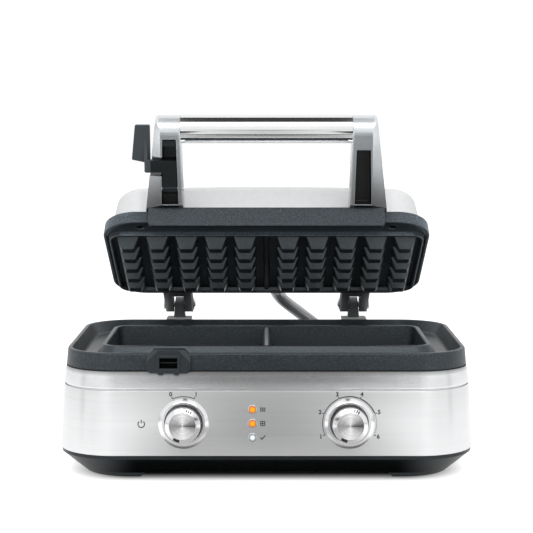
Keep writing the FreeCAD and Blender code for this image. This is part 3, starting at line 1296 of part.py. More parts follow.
def lid_conduit():
    """Silver tube from the lid's gland down to the ledge, at the lid's resting angle."""
    axis_z = SKIRT_BOTTOM + UPPER_RECESS + CONDUIT_GLAND_HEIGHT / 2
    mouth = SKIRT_BACK + CONDUIT_GLAND_LENGTH
    inside = Vector(CONDUIT_LID_X, mouth - CONDUIT_INSERT + FIT_CLEARANCE, axis_z)
    lead = Vector(CONDUIT_LID_X, mouth + CONDUIT_LEAD, axis_z)
    start, first = [opened(Part.Vertex(point)).Point for point in (inside, lead)]
    return route([start, first] + CONDUIT_RUN + [CONDUIT_FOOT], CONDUIT_DIAMETER)


def control_nodes():
    """Everything on or behind the front panel, at its place."""
    nodes = {}
    for name, x, body in (("power", -KNOB_X, power_switch()), ("dial", KNOB_X, dial_potentiometer())):
        place = panel_place(x, CONTROL_Z)
        turned_place = place.multiply(Placement(Vector(), Rotation(Vector(0, 0, 1), -KNOB_POINTS_AT)))
        nodes[name + "_bezel"] = placed(bezel(), place)
        nodes[name + "_knob"] = placed(knob(), turned_place)
        nodes[name + "_mark"] = placed(knob_mark(), turned_place)
        nodes[name + "_cap"] = placed(knob_cap(), turned_place)
        nodes[name + "_shaft"] = placed(knob_shaft(), turned_place)
        nodes["power_switch" if name == "power" else "dial_potentiometer"] = placed(body, place)
    middle = panel_place(LAMP_X, CONTROL_Z)
    rows = [Placement(Vector(0, row * LAMP_PITCH, 0), Rotation()) for row in (1, 0, -1)]
    nodes["lamp_bezels"] = placed(Part.makeCompound([placed(lamp_ring(), row) for row in rows]), middle)
    for name, row in zip(("upper", "middle", "lower"), rows):
        nodes["lamp_lens_" + name] = placed(placed(lamp_lens(), row), middle)
    nodes["control_board"] = placed(control_board(), panel_place(0, CONTROL_Z))
    return nodes


def base_nodes():
    """The base and what is inside it."""
    element_z = WELL_UNDERSIDE - ELEMENT_DIAMETER / 2
    return {
        "bottom_cover": bottom_cover(),
        "foot_pads": foot_pads(),
        "base_screws": base_screws(),
        "body_wrap": body_wrap(),
        "shoulder_collar": shoulder_collar(),
        "lower_plate": lower_plate(),
        "latch_catch": latch_catch(),
        "lower_element": route(element_points(element_z), ELEMENT_DIAMETER, ELEMENT_CORNER),
        "lower_element_clips": element_clips(WELL_UNDERSIDE, -1),
        "lower_heat_shield": lower_heat_shield(),
        "lower_sensor": sensor(WELL_UNDERSIDE, -1),
        "thermal_fuse": thermal_fuse(),
        "power_board": power_board(),
        "relay": board_block(-POWER_BOARD_WIDTH / 4, RELAY_WIDTH, RELAY_DEPTH, RELAY_HEIGHT),
        "transformer": board_block(POWER_BOARD_WIDTH / 5, CORE_WIDTH, CORE_DEPTH, CORE_HEIGHT),
        "terminal_block": terminal_block(),
        "cord_gland": cord_gland(),
        "rear_housing": rear_housing(),
        "hinge_upright_left": hinge_upright(-HINGE_X),
        "hinge_upright_right": hinge_upright(HINGE_X),
        "conduit_gland_base": conduit_gland_base(),
        "lid_conduit": lid_conduit(),
    }


def lid_nodes():
    """The lid, its handle and the latch, turned to the resting angle."""
    element_z = UPPER_BACK + ELEMENT_DIAMETER / 2
    shut = {
        "lid_frame": lid_frame(),
        "lid_cover": lid_cover(),
        "upper_plate": upper_plate(),
        "plate_screws": plate_screws(),
        "upper_element": route(element_points(element_z), ELEMENT_DIAMETER, ELEMENT_CORNER),
        "upper_element_clips": element_clips(UPPER_BACK, 1),
        "upper_heat_shield": upper_heat_shield(),
        "upper_sensor": sensor(UPPER_BACK, 1),
        "handle_lip": handle_lip(),
        "handle_arm_left": handle_arm_left(),
        "handle_arm_right": mirrored(handle_arm(CHANNEL_TOP_RIGHT)),
        "arm_screws": arm_screws(),
        "grip_bar": grip_bar(),
        "grip_keys": grip_keys(),
        "hinge_bracket_left": hinge_bracket(-HINGE_X),
        "hinge_bracket_right": hinge_bracket(HINGE_X),
        "hinge_pins": hinge_pins(),
        "pin_clips": pin_clips(),
        "conduit_gland_lid": conduit_gland_lid(),
        "latch_pin": latch_pin(),
        "latch_lever": latch_lever(),
    }
    return {name: opened(shape) for name, shape in shut.items()}


def main():
    """Build every piece and write one file for each."""
    os.makedirs("parts", exist_ok=True)
    nodes = {**base_nodes(), **control_nodes(), **lid_nodes()}
    for name, shape in nodes.items():
        shape.exportStep("parts/" + name + ".step")
        print(name, len(shape.Solids), round(shape.Volume, 1), shape.isValid())


main()
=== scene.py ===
import math

import bmesh
import bpy
import numpy as np
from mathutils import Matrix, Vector


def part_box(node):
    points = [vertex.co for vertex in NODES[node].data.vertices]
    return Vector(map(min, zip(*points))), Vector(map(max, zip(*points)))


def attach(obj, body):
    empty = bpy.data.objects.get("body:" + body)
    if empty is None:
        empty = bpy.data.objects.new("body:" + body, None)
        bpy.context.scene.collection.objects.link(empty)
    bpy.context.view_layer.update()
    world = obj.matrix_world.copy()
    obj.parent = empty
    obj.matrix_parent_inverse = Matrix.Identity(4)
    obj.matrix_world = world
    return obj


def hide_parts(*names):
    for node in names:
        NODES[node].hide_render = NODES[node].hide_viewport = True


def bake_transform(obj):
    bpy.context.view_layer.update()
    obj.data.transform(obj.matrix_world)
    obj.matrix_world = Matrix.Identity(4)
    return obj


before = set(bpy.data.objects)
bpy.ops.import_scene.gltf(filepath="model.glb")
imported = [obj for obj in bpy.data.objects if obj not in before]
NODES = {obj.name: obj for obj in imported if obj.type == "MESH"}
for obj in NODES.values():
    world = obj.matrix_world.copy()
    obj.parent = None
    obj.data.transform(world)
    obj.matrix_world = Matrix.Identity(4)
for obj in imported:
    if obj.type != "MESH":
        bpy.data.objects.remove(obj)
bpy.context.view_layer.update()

bl_info = {
    "name": "Waffle maker dressing",
    "version": (1, 0, 0),
    "blender": (4, 5, 0),
    "location": "View3D > Sidebar > Waffle maker",
    "description": "Smooth surfaces, finishes and a small studio around a packed waffle maker",
    "category": "Object",
}

MM = 0.001
SMOOTH_TO = math.radians(38.0)
SQUARE = ((-1, -1), (1, -1), (1, 1), (-1, 1))

# Base, in millimetres, with heights above the table
BAND_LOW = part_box("body_wrap")[0].z / MM
BAND_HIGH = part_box("body_wrap")[1].z / MM
BODY_HALF_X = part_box("body_wrap")[1].x / MM
BODY_HALF_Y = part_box("body_wrap")[1].y / MM
BODY_CORNER = 53.0
COLLAR_HIGH = 99.0
COLLAR_GROOVE = 1.3
COLLAR_CROWN = 1.1
SHADOW_GAP = 0.8
RIM_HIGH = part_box("lower_plate")[1].z / MM
LEANS = (3.2, 2.65, 1.45)
LEAN_HEIGHTS = (BAND_LOW, BAND_HIGH, COLLAR_HIGH, RIM_HIGH)
WINDOW_MIDDLE = (-86.6, -113.0, 105.7)
WINDOW_HALF = (8.2, 4.0, 4.9)
CATCH_HALF_X = 7.9
CATCH_THICK = 0.4

# Tray
RIM_EDGE = 3.8
MOAT_FLOOR = 102.5
MOAT_SLOPE = 7.0
MOAT_FLAT = 3.2
WELL_HALF_X = 146.5
WELL_HALF_Y = 64.5
WELL_CORNER = 11.0
WELL_FLOOR = 81.0
WELL_UNDER = 78.0
WELL_RIM = 4.3
WELL_DRAFT = 1.8
WELL_ROUND = 3.0
FLOOR_EDGE = 6.0
CASTING = 3.0
DIVIDER_DROP = 1.8
DIVIDER_TOP = 2.5
DIVIDER_FOOT = 7.2
DIVIDER_ROUND = 2.1
# Half sizes of the painted highlight along the divider's crest
CREST_HALF = (1.4, 200.0, 2.0)

# Studs of both plates
CELL_X = 74.5
COLUMN_PITCH = 27.2
ROW_PITCH = 23.45
STUD_BASE = (20.4, 17.4)
STUD_SLOPE = 4.5
STUD_HEIGHT = 11.0
STUD_CORNER = 1.0

# Lid, drawn shut and then opened
HINGE_Y = 130.0
HINGE_Z = 127.5
LID_OPEN = math.radians(29.45)
SKIRT_HALF_X = 151.0
SKIRT_HALF_Y = 83.25
SKIRT_Y = -4.15
SKIRT_CORNER = 32.0
SKIRT_LOW = 118.3
SKIRT_INSIDE = 127.7
SKIRT_HIGH = 130.2
PLATE_FACE = 118.8
PLATE_RIM = (145.5, 66.5, 13.0)
PLATE_RIM_DROP = 4.0
RIDGE_HALF = 63.0
SCREW_X = 115.5
SCREW_ROWS = (-76.8, 65.0)
SCREW_HOLLOW = 3.45
CONDUIT_X = 9.0
CONDUIT_Z = 127.8
CONDUIT_RADIUS = 6.25
CONDUIT_LEAD = (85.3, 105.1)
SLEEVE_RADIUS = 7.4
SLEEVE_ENDS = (78.0, 88.0)
TUBE_ASIDE = (0.6, -0.75, 0.0)
CONDUIT_RUN = [(37, 125.5, 117), (53, 130, 104.5), (58, 130.5, 96.5), (58, 130.5, 82.8)]

# Handle, in the arm's own frame: across, into the arm and along it
ARM_FOOT = (-95.0, 130.2)
ARM_LEAN = math.radians(40.0)
BAR_PLACE = (0, 13.5, 69.2)
BAR_RADIUS = 12.7
BAR_HALF = 77.3
# Boxes of painted shade on the arm: black inside the channel, darker on the outer facet and on the front
# faces
CHANNEL = (87.4, 10.6, 30.0), (8.2, 9.9, 33.0)
FACET = (104.0, 1.6, 31.0), (8.7, 3.9, 33.0)
FRONT = (86.0, 0.0, 30.0), (9.4, 0.8, 36.0)
# Box where the lever is painted black as the shade of the arm's channel
LEVER_BLOCK = (-88.0, -80.0, 240.0), (16.5, 200.0, 200.0)

# Front panel
PANEL_LEAN = math.atan2(LEANS[0], BAND_HIGH - BAND_LOW)
PANEL_OUT = (0, -math.cos(PANEL_LEAN), math.sin(PANEL_LEAN))
KNOB_X = 73.5
CONTROL_Z = 52.0
KNOB_RADIUS = 15.7
KNOB_PROUD = 17.6
KNOB_SEAT = 11.6
# Height off the panel up to which the knob's side is painted black as shade
KNOB_SHADE_HEIGHT = 6.0
KNOB_POINTS_AT = 23.5
LAMP_X = -12.4
LAMP_PITCH = 12.45
ARC_RADIUS = 23.9
TICK_REACH = np.array([23.7, 25.8])
FIGURE_SIZE = 5.2
FIGURE_BOLD = 0.035
POWER_FIGURES = 28.2
DIAL_FIGURES = 28.0
MAINS_X = -37.3
PATCH_RISE = 0.1
ROUND_MAP_REACH = 0.02
DIAL_TURNS = (-115, -69, -23, 23, 69, 115)
SIGN_X = 9.0

# Finishes
COOL = (0.84, 0.94, 1.0, 1)
# Black of painted shade inside recesses and channels
PAINTED_SHADE_BLACK = (0.0025, 0.003, 0.0033, 1)
CREST_HIGHLIGHT = (0.34, 0.35, 0.36, 1)
BROAD_GRAIN = 24
COLLAR_SHADOW = (0.0935, 0.0978)
SKIRT_SHADOW = (0.105, 0.152)
ARM_SHADOW = (0.004, 0.062)
LENS_GLOW = (0.06, 0.162)
FINISHES = {}

# Name, then label, colour, roughness, metallic, grain size and strength, and where they are not the usual
# ones the spread of roughness and the edge radius
GRAINED = {
    "cover": ("cover silver", (0.64, 0.645, 0.65), 0.42, 0.3, 5200.0, 0.01),
    "rubber": ("foot rubber", (0.02, 0.02, 0.02), 0.8, 0.0, 1500.0, 0.3),
    "chrome": ("chrome", (0.86, 0.865, 0.87), 0.08, 1.0, 900.0, 0.004, 0.02),
    "zinc": ("zinc plate", (0.6, 0.6, 0.61), 0.3, 1.0, 2600.0, 0.05, 0.05, 0.0004),
    "hinge": ("dark hinge steel", (0.075, 0.081, 0.087), 0.4, 0.6, 2200.0, 0.08, 0.05, 0.0006),
    "upright": ("hinge upright", (0.055, 0.062, 0.067), 0.42, 0.0, 2200.0, 0.1, 0.05, 0.0006),
    "housing": ("housing silver", (0.66, 0.665, 0.67), 0.40, 0.4, 2600.0, 0.03, 0.05, 0.0008),
    "conduit": ("conduit silver", (0.52, 0.525, 0.54), 0.30, 0.5, 1800.0, 0.04),
    "bezel": ("bezel chrome", (0.82, 0.82, 0.83), 0.16, 1.0, 1600.0, 0.01, 0.03),
    "knob": ("knob metal", (0.82, 0.82, 0.83), 0.17, 1.0, 1600.0, 0.01, 0.03),
    # Black of printed marks, and also of painted shade in the collar's groove, the bezel's bore and the
    # knob's side near the panel
    "ink": ("print and shade black", (0.02, 0.02, 0.022), 0.6, 0.0, 3000.0, 0.05),
    "heater": ("heater sheath", (0.2, 0.2, 0.2), 0.5, 0.8, 900.0, 0.1),
    "sheet": ("shield sheet", (0.55, 0.55, 0.55), 0.35, 1.0, 600.0, 0.05),
    "ceramic": ("sensor glaze", (0.75, 0.73, 0.68), 0.4, 0.0, 900.0, 0.05),
    "board": ("circuit board", (0.03, 0.16, 0.07), 0.45, 0.0, 1200.0, 0.1),
    "component": ("component moulding", (0.03, 0.03, 0.033), 0.5, 0.0, 1500.0, 0.1),
    "core": ("laminated core", (0.2, 0.2, 0.21), 0.5, 0.6, 700.0, 0.1),
}

# Levels of a painted reflection round a knob's spun face, two pale cones, by the share of a turn
SPUN_HIGHLIGHT_LEVELS = ((0.0, 0.36), (0.05, 0.44), (0.13, 0.72), (0.25, 0.97), (0.37, 0.72), (0.45, 0.42),
               (0.505, 0.10), (0.55, 0.30), (0.64, 0.66), (0.75, 0.98), (0.84, 0.76), (0.93, 0.52),
               (0.99, 0.36))

# Finish of every solid
NODE_FINISHES = {
    "moulding": "bottom_cover cord_gland",
    "rubber": "foot_pads",
    "zinc": "base_screws plate_screws arm_screws hinge_pins pin_clips latch_pin power_shaft dial_shaft "
            "lower_element_clips upper_element_clips",
    "band": "body_wrap",
    "silver": "shoulder_collar",
    "housing": "rear_housing conduit_gland_base",
    "hinge": "hinge_bracket_left hinge_bracket_right conduit_gland_lid",
    "upright": "hinge_upright_left hinge_upright_right",
    "arm": "handle_arm_left handle_arm_right",
    "cover": "lid_cover",
    "tray": "lower_plate",
    "plate": "upper_plate",
    "skirt": "lid_frame",
    "lip": "handle_lip",
    "catch": "latch_catch",
    "charcoal": "latch_lever",
    "chrome": "grip_bar grip_keys",
    "conduit": "lid_conduit",
    "heater": "lower_element upper_element",
    "sheet": "lower_heat_shield upper_heat_shield",
    "ceramic": "lower_sensor upper_sensor thermal_fuse",
    "board": "power_board control_board",
    "component": "relay power_switch dial_potentiometer terminal_block",
    "core": "transformer",
    "bezel": "power_bezel dial_bezel lamp_bezels",
    "knob": "power_knob dial_knob power_cap dial_cap",
    "ink": "power_mark dial_mark",
    "amber": "lamp_lens_upper lamp_lens_middle",
    "clear": "lamp_lens_lower",
}

# Dark cards that only reflections see: name, middle, half sizes, cover, and how much of each side fades.
# A card away from the middle has a twin on the other side.
CARDS = (
    ("ceiling_card", (0, -0.285, 2.0), (0.205, 0.775, 0), 0.95, (0.04, 0.05)),
    ("low_card", (0, -0.25, 0.119), (0.23, 0, 0.026), 0.97, (0.40, 0.16)),
    ("near_card", (0, -0.08, 0.006), (0.155, 0.06, 0), 0.97, (0.13, 0.15)),
    ("fore_card", (0, -0.21, 0.005), (0.17, 0.085, 0), 0.54, (0.3, 0.15)),
    ("arm_card", (0.17, -0.66, 0.05), (0.085, 0.28, 0), 0.95, (0.08, 0.1)),
    ("side_card", (0.43, -0.38, 0.07), (0.15, 0.18, 0), 0.9, (0.2, 0.2)),
    ("strip_card", (0.75, -0.265, 0.10), (0, 0.085, 0.10), 0.45, (0.45, 0.1)),
    ("panel_card", (0, -0.25, 0.047), (0.15, 0, 0.045), 0.50, (0.5, 0.1)),
    ("back_card", (0, 0.40, 0.16), (0.22, 0, 0.12), 0.85, (0.3, 0.3)),
    ("table_card", (0, -0.68, 0.012), (0.19, 0.52, 0), 0.46, (0.48, 0.12)),
    ("front_card", (0, -0.95, 0.13), (0.17, 0, 0.11), 0.55, (0.48, 0.3)),
)

# Name, place, aim, size, power and whether the light has a mirror image, with twins as for the cards
LIGHTS = (
    ("overhead", (0, -0.35, 1.7), (0, 0, 0.1), (2.0, 1.4), 26.0, False),
    ("front_box", (0, -1.62, 1.58), (0, 0, 0.1), (2.2, 0.9), 16.0, True),
    ("box", (1.5, -0.9, 0.75), (0, 0, 0.12), (1.1, 1.3), 8.0, False),
)

TABLE_REACH = 8.0
FOOTPRINT = (0.121, 0.064, 0)
SHADOW_RANGE = (0.022, 0.072)
MIRRORED_TABLE = 0.68
WORLD_LIGHT = 0.35
CAMERA_PLACE = (0.0, -1.4796, 0.3287)
CAMERA_TIP = math.radians(5.75)
CAMERA_LENS = 105.52


def length_setting(name, description, metres):
    """Setting for a small length."""
    return bpy.props.FloatProperty(name=name, description=description, default=metres, unit="LENGTH")


def colour_setting(name, description, *channels):
    """Setting for a base colour."""
    return bpy.props.FloatVectorProperty(
        name=name, description=description, size=4, subtype="COLOR", default=channels + (1,))


class WaffleSizes(bpy.types.PropertyGroup):
    """Sizes of the rounded edges and fine details that the dressing adds."""

    rim_round: length_setting("Rim round", "Radius along the tray's rims", 0.0014)
    moat_round: length_setting("Moat round", "Radius along the floor of the moat", 0.005)
    stud_round: length_setting("Stud round", "Radius along the tips of the studs", 0.0012)
    skirt_round: length_setting("Skirt round", "Radius along the skirt's shoulder", 0.0016)
    band_edge: length_setting("Band edge", "Radius on the edges of the steel band", 0.0004)
    ink_rise: length_setting("Ink rise", "How far printed marks stand off the panel", 0.00006)


class WaffleColours(bpy.types.PropertyGroup):
    """Base colours of the finishes."""

    steel: colour_setting("Steel", "Brushed band", 0.77, 0.775, 0.78)
    silver: colour_setting("Silver", "Satin castings", 0.80, 0.81, 0.82)
    coating: colour_setting("Coating", "Non-stick plates", 0.0100, 0.0128, 0.0152)
    skirt: colour_setting("Skirt", "Lid skirt and lip", 0.0155, 0.0195, 0.0228)
    moulding: colour_setting("Moulding", "Black base", 0.0012, 0.0016, 0.0018)
    charcoal: colour_setting("Charcoal", "Latch and catch", 0.049, 0.0565, 0.062)
    amber: colour_setting("Amber", "Lit lamps", 1.0, 0.36, 0.004)


def plan(corner_steps=16, side_steps=12):
    """Signs and outward directions round a rounded rectangle, so that a point is
    sign * (half size - corner) + direction * corner."""
    signs, ways = [], []
    corners = ((1, 1), (-1, 1), (-1, -1), (1, -1))
    for k, sign in enumerate(corners):
        turn = np.linspace(k * math.pi / 2, (k + 1) * math.pi / 2, corner_steps + 1)
        signs.append(np.repeat([sign], corner_steps + 1, 0))
        ways.append(np.stack([np.cos(turn), np.sin(turn)], -1))
        share = np.linspace(0, 1, side_steps + 1)[1:-1, None]
        following = np.array(corners[(k + 1) % 4])
        signs.append(np.array(sign) * (1 - share) + following * share)
        ways.append(np.repeat(ways[-1][-1:], side_steps - 1, 0))
    return np.concatenate(signs).astype(float), np.concatenate(ways)


PLAN_SIGNS, PLAN_WAYS = plan()


def outline(half_x, half_y, corner, inset, z, y=0.0):
    """Level ring of points on a rounded rectangle that is drawn in by an inset."""
    corner = max(corner - inset, 0.05)
    reach = np.array([half_x - inset - corner, half_y - inset - corner])
    ring = PLAN_SIGNS * reach + PLAN_WAYS * corner
    return np.column_stack([ring[:, 0], ring[:, 1] + y, np.broadcast_to(z, len(ring))])


def unit(rows):
    """Vectors of length one."""
    return rows / np.linalg.norm(rows, axis=-1, keepdims=True)


def rounded_path(points, radii, steps=7):
    """Open line through 2-D points whose inner corners become arcs of the given radii."""
    points = np.asarray(points, float)
    line = [points[:1]]
    for before, point, after, radius in zip(points, points[1:], points[2:], radii):
        back, ahead = unit(before - point), unit(after - point)
        half = math.acos(np.clip(back @ ahead, -1, 1)) / 2
        if radius <= 0 or abs(half - math.pi / 2) < 1e-4:
            line.append(point[None])
            continue
        centre = point + unit(back + ahead) * radius / math.sin(half)
        first = point + back * radius / math.tan(half) - centre
        last = point + ahead * radius / math.tan(half) - centre
        start = math.atan2(first[1], first[0])
        sweep = (math.atan2(last[1], last[0]) - start + math.pi) % (2 * math.pi) - math.pi
        turn = start + sweep * np.linspace(0, 1, steps)
        line.append(centre + radius * np.column_stack([np.cos(turn), np.sin(turn)]))
    line.append(points[-1:])
    return np.concatenate(line)


def surface(grid, wrap_rows=False):
    """Points and faces of a grid of rings, closed by a flat face at each end unless the rings meet."""
    rows, cols = grid.shape[:2]
    row, col = np.meshgrid(np.arange(rows if wrap_rows else rows - 1), np.arange(cols), indexing="ij")
    below, right = (row + 1) % rows, (col + 1) % cols
    corners = [row * cols + col, row * cols + right, below * cols + right, below * cols + col]
    faces = np.stack(corners, -1).reshape(-1, 4).tolist()
    if not wrap_rows:
        faces.append(list(range(cols)))
        faces.append(list(range((rows - 1) * cols, rows * cols)))
    return grid.reshape(-1, 3), faces


def combine(*shapes):
    """Several shapes as one, each keeping its own points."""
    points, faces, count = [], [], 0
    for own_points, own_faces in shapes:
        points.append(own_points)
        faces += [[corner + count for corner in face] for face in own_faces]
        count += len(own_points)
    return np.concatenate(points), faces


def moved(shape, change):
    """The shape with its points passed through a change of place."""
    return change(shape[0]), shape[1]


def shifted(shape, *offset):
    """The shape, moved without turning."""
    return shape[0] + offset, shape[1]


def body_inset(z):
    """How far the base's sides have leaned in at a height."""
    return float(np.interp(z, LEAN_HEIGHTS, np.concatenate([[0], np.cumsum(LEANS)])))


def turn_x(points, angle, y, z):
    """Points turned about a line along X."""
    cos, sin = math.cos(angle), math.sin(angle)
    dy, dz = points[:, 1] - y, points[:, 2] - z
    return np.column_stack([points[:, 0], y + dy * cos - dz * sin, z + dy * sin + dz * cos])


def open_lid(points):
    """From the lid shut to its resting angle."""
    return turn_x(points, -LID_OPEN, HINGE_Y, HINGE_Z)


def from_arm(points):
    """From the arm's own frame to the resting lid."""
    return open_lid(turn_x(points + [0, *ARM_FOOT], ARM_LEAN, *ARM_FOOT))


def on_panel(x, points):
    """From a control's own frame, whose Z points out of the panel, to its place on the base."""
    turned = turn_x(points, math.pi / 2 - PANEL_LEAN, 0, 0)
    return turned + [x, body_inset(CONTROL_Z) - BODY_HALF_Y, CONTROL_Z]


def control_centre(x, up=0.0):
    """Place of a control's own origin, or of a point above it, in metres."""
    return on_panel(x, np.array([[0, up, 0]]))[0] * MM


def lathe(profile, steps=128):
    """Solid of revolution about Z over (radius, height) points."""
    profile = np.asarray(profile, float)
    turn = np.linspace(0, 2 * math.pi, steps, endpoint=False)
    return surface(np.stack([profile[:, :1] * np.cos(turn), profile[:, :1] * np.sin(turn),
                             np.repeat(profile[:, 1:], steps, 1)], -1))


def tube(line, radius, steps=40):
    """Circles square to a line, turned from one fixed direction that the line never runs along."""
    ahead = unit(np.gradient(line, axis=0))
    side = unit(np.cross(ahead, TUBE_ASIDE))
    rise = np.cross(side, ahead)
    turn = np.linspace(0, 2 * math.pi, steps, endpoint=False)[:, None]
    return surface(line[:, None] + radius * (np.cos(turn) * side[:, None] + np.sin(turn) * rise[:, None]))


def ridge(section, *ends):
    """Bar along Y over an (x, z) section."""
    return surface(np.stack([np.insert(section, 1, y, axis=1) for y in ends]))


def stroke(line, width, rise):
    """Flat printed line: a low box section along 2-D points, of one width or of a width at each point."""
    line = np.asarray(line, float)
    ahead = unit(np.gradient(line, axis=0))
    side = np.column_stack([-ahead[:, 1], ahead[:, 0]]) * np.broadcast_to(width, len(line))[:, None] / 2
    edges = ((side, 0.0), (-side, 0.0), (-side, rise), (side, rise))
    return surface(np.stack([np.insert(line + away, 2, height, axis=1) for away, height in edges], 1))


def clockwise(radius, degrees):
    """2-D points at clock angles from twelve."""
    turn = np.radians(degrees)
    return np.column_stack([radius * np.sin(turn), radius * np.cos(turn)])


def curve_mesh(curve):
    """Points and faces of a curve as a mesh; the curve is removed."""
    holder = bpy.data.objects.new("line", curve)
    mesh = bpy.data.meshes.new_from_object(holder)
    points = read(mesh.vertices, "co")
    faces = [list(face.vertices) for face in mesh.polygons]
    bpy.data.objects.remove(holder)
    bpy.data.curves.remove(curve)
    bpy.data.meshes.remove(mesh)
    return points, faces


def nurbs_line(route):
    """Points along the smooth line that has the route's points as its controls."""
    curve = bpy.data.curves.new("route", "CURVE")
    curve.dimensions = "3D"
    spline = curve.splines.new("NURBS")
    spline.points.add(len(route) - 1)
    spline.points.foreach_set("co", np.insert(route, 3, 1.0, axis=1).ravel())
    spline.order_u, spline.use_endpoint_u = 3, True
    return curve_mesh(curve)[0]


def lettering(text, place, rise):
    """Plain figures as a flat mesh, centred on a 2-D place."""
    curve = bpy.data.curves.new("figures", "FONT")
    curve.body = text
    curve.align_x, curve.align_y = "CENTER", "CENTER"
    curve.size, curve.extrude, curve.offset = FIGURE_SIZE, rise / 2, FIGURE_BOLD * FIGURE_SIZE
    curve.resolution_u = 4
    return shifted(curve_mesh(curve), *place, rise / 2)


def cone_patch(inner, outer, middle, half):
    """Thin curved patch on a cone between two (radius, height) points, over an arc of clock angles."""
    turn = np.radians(np.linspace(middle - half, middle + half, 9))[:, None]
    (r0, z0), (r1, z1) = inner, outer
    radius, height = np.array([[r0, r1, r1, r0], [z0, z1, z1, z0]]) + [0, 0, PATCH_RISE, PATCH_RISE]
    x, y, z = np.broadcast_arrays(radius * np.sin(turn), radius * np.cos(turn), height)
    return surface(np.stack([x, y, z], -1))


def read(items, name, width=3, kind=float):
    """A property of every item of a mesh, as rows."""
    values = np.zeros(len(items) * width, kind)
    items.foreach_get(name, values)
    return values.reshape(-1, width) if width > 1 else values


def make_piece(name, shape, coat, body, replaces=(), slot=None):
    """A mesh object from a shape in millimetres, smooth up to an angle, with a finish, riding on a body."""
    points, faces = shape
    mesh = bpy.data.meshes.new(name)
    mesh.from_pydata((points * MM).tolist(), [], faces)
    form = bmesh.new()
    form.from_mesh(mesh)
    bmesh.ops.recalc_face_normals(form, faces=form.faces)
    form.to_mesh(mesh)
    form.free()
    mesh.shade_smooth()
    mesh.set_sharp_from_angle(angle=SMOOTH_TO)
    mesh.materials.append(FINISHES[coat])
    piece = bpy.data.objects.new(name, mesh)
    bpy.context.scene.collection.objects.link(piece)
    if body:
        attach(piece, body)
    if replaces:
        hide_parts(*replaces)
    return piece


def lid_piece(name, shape, coat, replaces=(), slot=None):
    """A piece of the lid from a shape on the shut lid."""
    return make_piece(name, moved(shape, open_lid), coat, "lid", replaces, slot)


def panel_piece(name, x, shape, *rest, **named):
    """A piece from a shape in a control's own frame."""
    return make_piece(name, moved(shape, lambda points: on_panel(x, points)), *rest, **named)


def second_finish(piece, coat, chosen):
    """Another finish on the chosen faces."""
    piece.data.materials.append(FINISHES[coat])
    piece.data.polygons.foreach_set("material_index", chosen.astype(np.int32))


def off_panel(piece, x):
    """Distance from a control's axis and height off the panel at the middle of each face."""
    away = read(piece.data.polygons, "center") - control_centre(x)
    height = away @ np.array(PANEL_OUT)
    return np.linalg.norm(away - np.outer(height, PANEL_OUT), axis=1), height


def with_round_map(piece, centre):
    """UV map whose U runs round the panel's outward axis and whose V runs away from it, as shares of a turn
    and of the map's reach."""
    mesh = piece.data
    axis = np.array(PANEL_OUT)
    away = read(mesh.vertices, "co")[read(mesh.loops, "vertex_index", 1, int)] - centre
    side = unit(np.cross(axis, [1, 0, 0]))
    turn = np.arctan2(away @ side, away @ np.cross(side, axis)) / (2 * math.pi) + 0.5
    firsts, totals = (read(mesh.polygons, name, 1, int) for name in ("loop_start", "loop_total"))
    across = np.maximum.reduceat(turn, firsts) - np.minimum.reduceat(turn, firsts) > 0.5
    turn = np.where(np.repeat(across, totals) & (turn < 0.5), turn + 1, turn)
    out = np.linalg.norm(away - np.outer(away @ axis, axis), axis=1) / ROUND_MAP_REACH
    layer = mesh.uv_layers.new(name="round")
    layer.data.foreach_set("uv", np.column_stack([turn, out]).astype(np.float32).ravel())


def put(tree, socket, value):
    """Links a socket to another one, or sets its value."""
    if isinstance(value, bpy.types.NodeSocket):
        tree.links.new(value, socket)
    else:
        socket.default_value = value


def feed(tree, node, **inputs):
    """Sets or links a node's inputs by name."""
    for name, value in inputs.items():
        put(tree, node.inputs[name.replace("_", " ")], value)


def shaded(tree, **inputs):
    """Sets or links inputs of a material's principled shader."""
    feed(tree, tree.nodes["Principled BSDF"], **inputs)


def add_node(tree, kind, setup=(), **inputs):
    """A shader node with attributes set, and inputs set or linked by name."""
    node = tree.nodes.new("ShaderNode" + kind)
    for name, value in dict(setup).items():
        setattr(node, name, value)
    feed(tree, node, **inputs)
    return node


def worked(tree, operation, *values, kind="Math"):
    """Result of a sum on numbers or sockets."""
    node = add_node(tree, kind, {"operation": operation})
    for socket, value in zip(node.inputs, values):
        put(tree, socket, value)
    return node.outputs["Vector" if kind == "VectorMath" and operation != "LENGTH" else "Value"]


def worked_vector(tree, operation, *values):
    """Result of a sum on vectors."""
    return worked(tree, operation, *values, kind="VectorMath")


def spread(tree, value, low, high, first=0.0, last=1.0, curve="LINEAR"):
    """A value's run from low to high, as a run from first to last."""
    return add_node(tree, "MapRange", {"interpolation_type": curve}, Value=value, From_Min=low, From_Max=high,
                    To_Min=first, To_Max=last).outputs["Result"]


def mixed(tree, factor, first, second, blend="MIX"):
    """Two colours mixed by a factor."""
    return add_node(tree, "Mix", {"data_type": "RGBA", "blend_type": blend}, Factor=factor, A=first,
                    B=second).outputs["Result"]


def noise(tree, place, scale, detail, roughness=0.5):
    """Noise at a place."""
    made = add_node(tree, "TexNoise", Vector=place, Scale=scale, Detail=detail, Roughness=roughness)
    return made.outputs["Fac"]


def separate(tree, vector):
    """The three parts of a vector."""
    return tuple(add_node(tree, "SeparateXYZ", Vector=vector).outputs)


def object_place(tree):
    """Object coordinates of the surface."""
    return add_node(tree, "TexCoord").outputs["Object"]


def round_place(tree):
    """Shares of a turn and of the way out on a round piece."""
    return add_node(tree, "UVMap", {"uv_map": "round"}).outputs["UV"]


